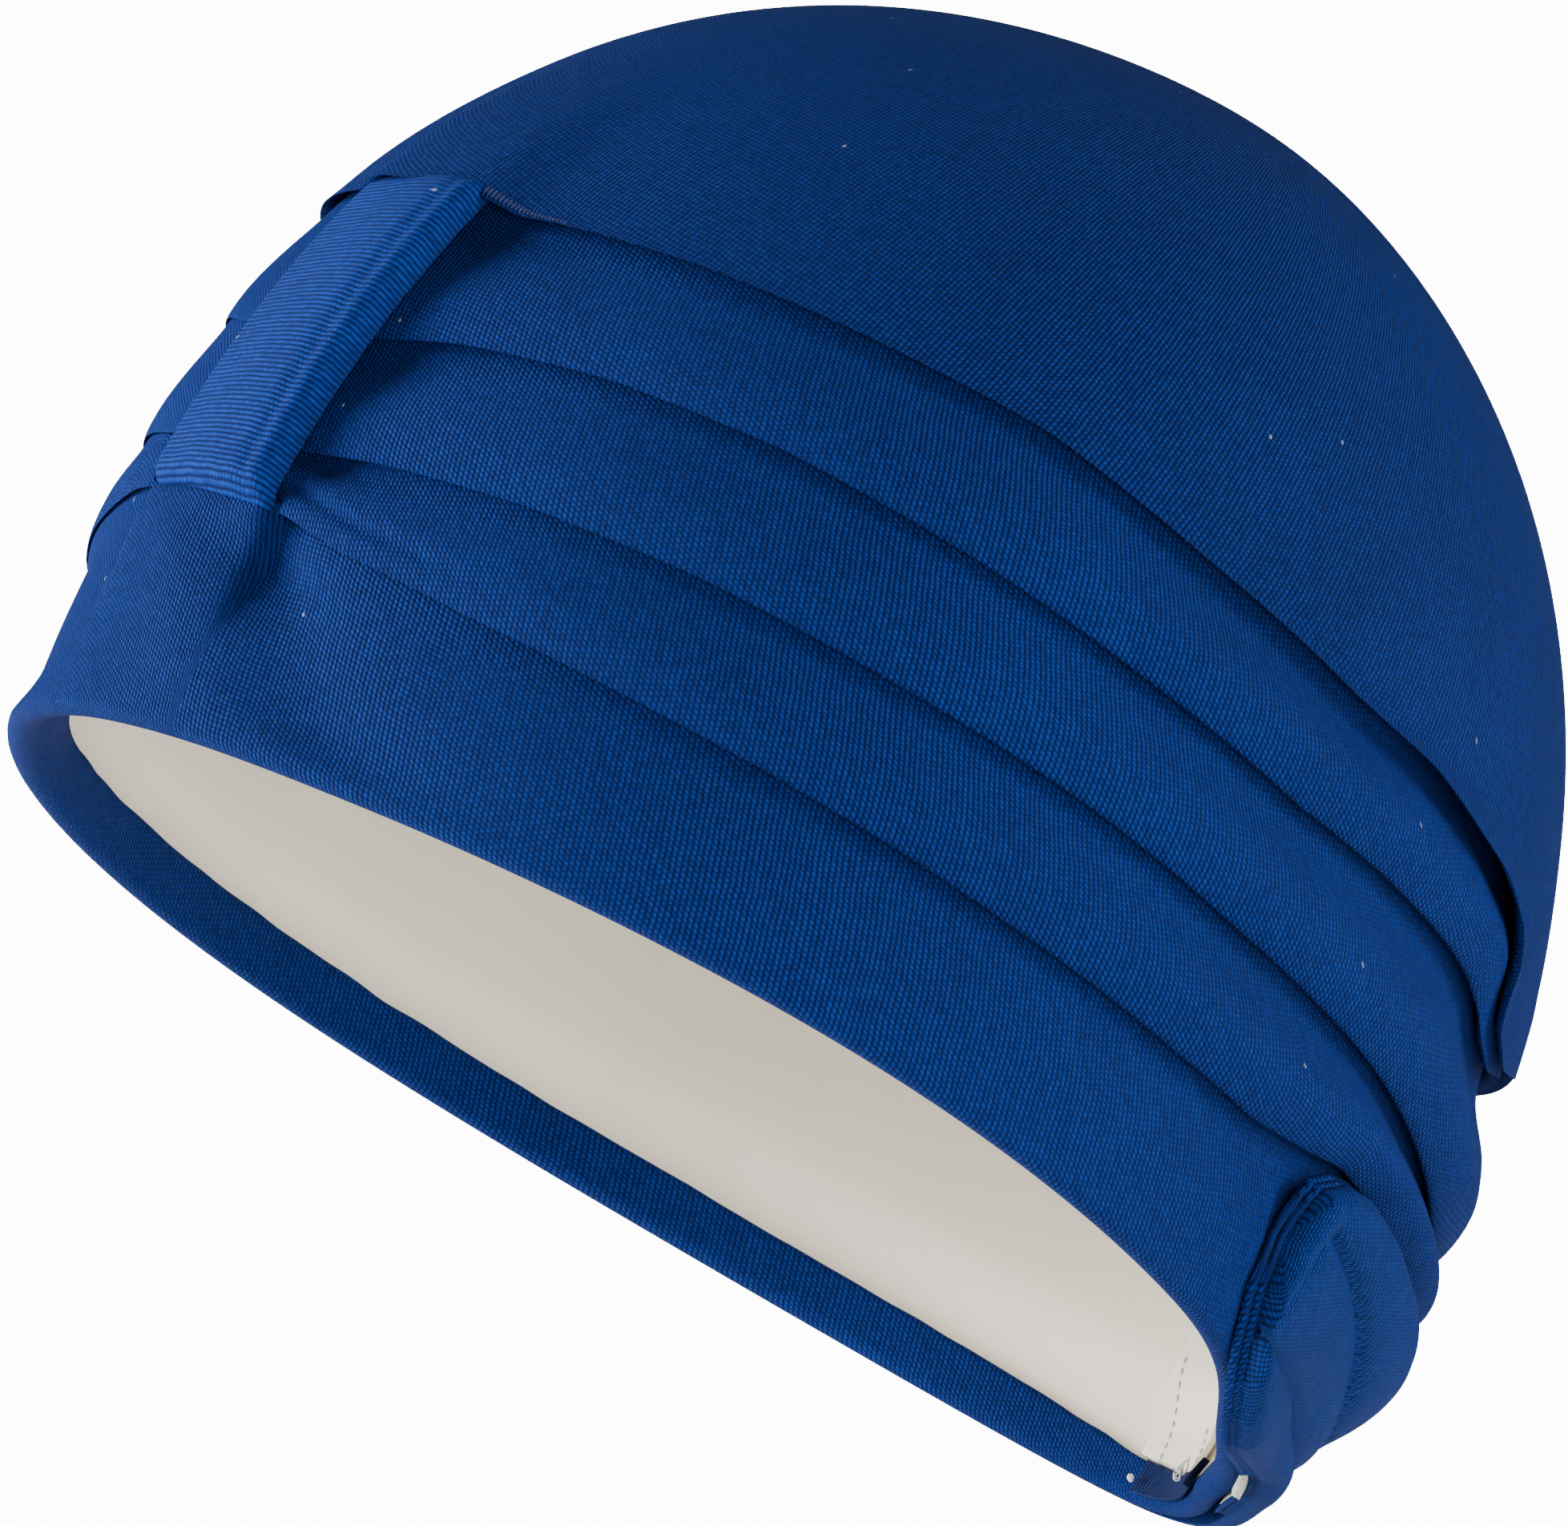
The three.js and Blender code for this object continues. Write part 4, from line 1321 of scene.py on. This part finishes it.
class StudioOperator(bpy.types.Operator):
    """Set the pale floor, the soft lights and the camera"""

    bl_idname = "swim_cap.studio"
    bl_label = "Studio"

    def execute(self, context):
        studio = context.scene.cap_studio
        aim = Vector(studio.camera_aim)
        place = Vector(studio.camera_place)
        towards = (place - aim).normalized()
        right = Vector((0, 0, 1)).cross(towards).normalized()
        self.surround(studio)
        self.camera(context, place, aim, studio.lens)
        for row in LIGHTS:
            across, ahead, up = row["way"]
            way = right * across + towards * ahead + Vector((0, 0, up))
            self.light(row["name"], aim, way, row["far"], row["size"], row["power"])
        world = bpy.data.worlds.new("studio_air")
        world.use_nodes = True
        world.node_tree.nodes["Background"].inputs["Color"].default_value = (0.9, 0.93, 1.0, 1)
        world.node_tree.nodes["Background"].inputs["Strength"].default_value = 0.07
        context.scene.world = world
        return {"FINISHED"}

    def surround(self, studio):
        """A round pale floor whose edge sweeps up into a wall, the same from every side."""
        bm = bmesh.new()
        low = studio.floor_height
        reach = 2.2
        bend = 0.8
        turns = (0.3, 0.6, 0.9, 1.2, 1.5708)
        profile = [(0.0, low), (1.2, low), (reach, low)]
        profile += [(reach + bend * math.sin(t), low + bend - bend * math.cos(t)) for t in turns]
        profile.append((3.0, low + 3.2))
        points = [bm.verts.new((x, 0, z)) for x, z in profile]
        edges = [bm.edges.new(pair) for pair in zip(points, points[1:])]
        bmesh.ops.spin(
            bm, geom=points + edges, cent=(0, 0, 0), axis=(0, 0, 1),
            angle=2 * math.pi, steps=64, use_merge=True,
        )
        bmesh.ops.remove_doubles(bm, verts=bm.verts, dist=1e-5)
        bmesh.ops.recalc_face_normals(bm, faces=bm.faces)
        mesh = bpy.data.meshes.new("studio_floor")
        for face in bm.faces:
            face.smooth = True
        bm.to_mesh(mesh)
        bm.free()
        floor = bpy.data.objects.new("studio_floor", mesh)
        bpy.context.scene.collection.objects.link(floor)
        material, tree, shader = new_material("studio_paper")
        shader.inputs["Base Color"].default_value = (0.86, 0.86, 0.86, 1)
        shader.inputs["Roughness"].default_value = 0.95
        glow = tree.nodes.new("ShaderNodeEmission")
        glow.inputs["Color"].default_value = (1, 1, 1, 1)
        glow.inputs["Strength"].default_value = 13.0
        ray = tree.nodes.new("ShaderNodeLightPath")
        mix = tree.nodes.new("ShaderNodeMixShader")
        tree.links.new(ray.outputs["Is Camera Ray"], mix.inputs[0])
        tree.links.new(shader.outputs[0], mix.inputs[1])
        tree.links.new(glow.outputs[0], mix.inputs[2])
        tree.links.new(mix.outputs[0], tree.nodes["Material Output"].inputs[0])
        mesh.materials.append(material)

    def light(self, name, aim, direction, distance, size, power):
        data = bpy.data.lights.new(name, "AREA")
        data.shape = "RECTANGLE"
        data.size, data.size_y = size
        data.energy = power
        light = bpy.data.objects.new(name, data)
        light.location = aim + direction.normalized() * distance
        light.rotation_euler = direction.to_track_quat("Z", "Y").to_euler()
        bpy.context.scene.collection.objects.link(light)

    def camera(self, context, place, aim, lens):
        data = bpy.data.cameras.new("photo_camera")
        data.sensor_fit = "HORIZONTAL"
        data.sensor_width = 36
        data.lens = lens
        data.clip_start = 0.02
        camera = bpy.data.objects.new("photo_camera", data)
        camera.location = place
        camera.rotation_euler = (place - aim).to_track_quat("Z", "Y").to_euler()
        context.scene.collection.objects.link(camera)
        context.scene.camera = camera


class SwimCapPanel(bpy.types.Panel):
    """Lists the pieces of the swim cap"""

    bl_idname = "VIEW3D_PT_swim_cap"
    bl_label = "Swim cap"
    bl_space_type = "VIEW_3D"
    bl_region_type = "UI"
    bl_category = "Swim cap"

    def draw(self, context):
        for settings in (context.scene.cap_form, context.scene.cap_cloth, context.scene.cap_studio):
            box = self.layout.box()
            for name in settings.__annotations__:
                box.prop(settings, name)
        for operator in OPERATORS:
            self.layout.operator(operator.bl_idname)


SETTINGS = (("cap_form", CapForm), ("cap_cloth", CapCloth), ("cap_studio", StudioSettings))
OPERATORS = (
    LiningOperator,
    CrownOperator,
    FoldsOperator,
    RimBandOperator,
    FrontBandOperator,
    StrapOperator,
    HemEndOperator,
    SeamOperator,
    StudioOperator,
)


def register():
    for name, group in SETTINGS:
        bpy.utils.register_class(group)
        setattr(bpy.types.Scene, name, PointerProperty(type=group))
    for operator in OPERATORS:
        bpy.utils.register_class(operator)
    bpy.utils.register_class(SwimCapPanel)


def unregister():
    bpy.utils.unregister_class(SwimCapPanel)
    for operator in reversed(OPERATORS):
        bpy.utils.unregister_class(operator)
    for name, group in reversed(SETTINGS):
        delattr(bpy.types.Scene, name)
        bpy.utils.unregister_class(group)


def main():
    register()
    bpy.ops.swim_cap.lining()
    bpy.ops.swim_cap.crown()
    bpy.ops.swim_cap.folds()
    bpy.ops.swim_cap.rim_band()
    bpy.ops.swim_cap.front_band()
    bpy.ops.swim_cap.strap()
    bpy.ops.swim_cap.hem_end()
    bpy.ops.swim_cap.seam()
    bpy.ops.swim_cap.studio()


if __name__ == "__main__":
    main()
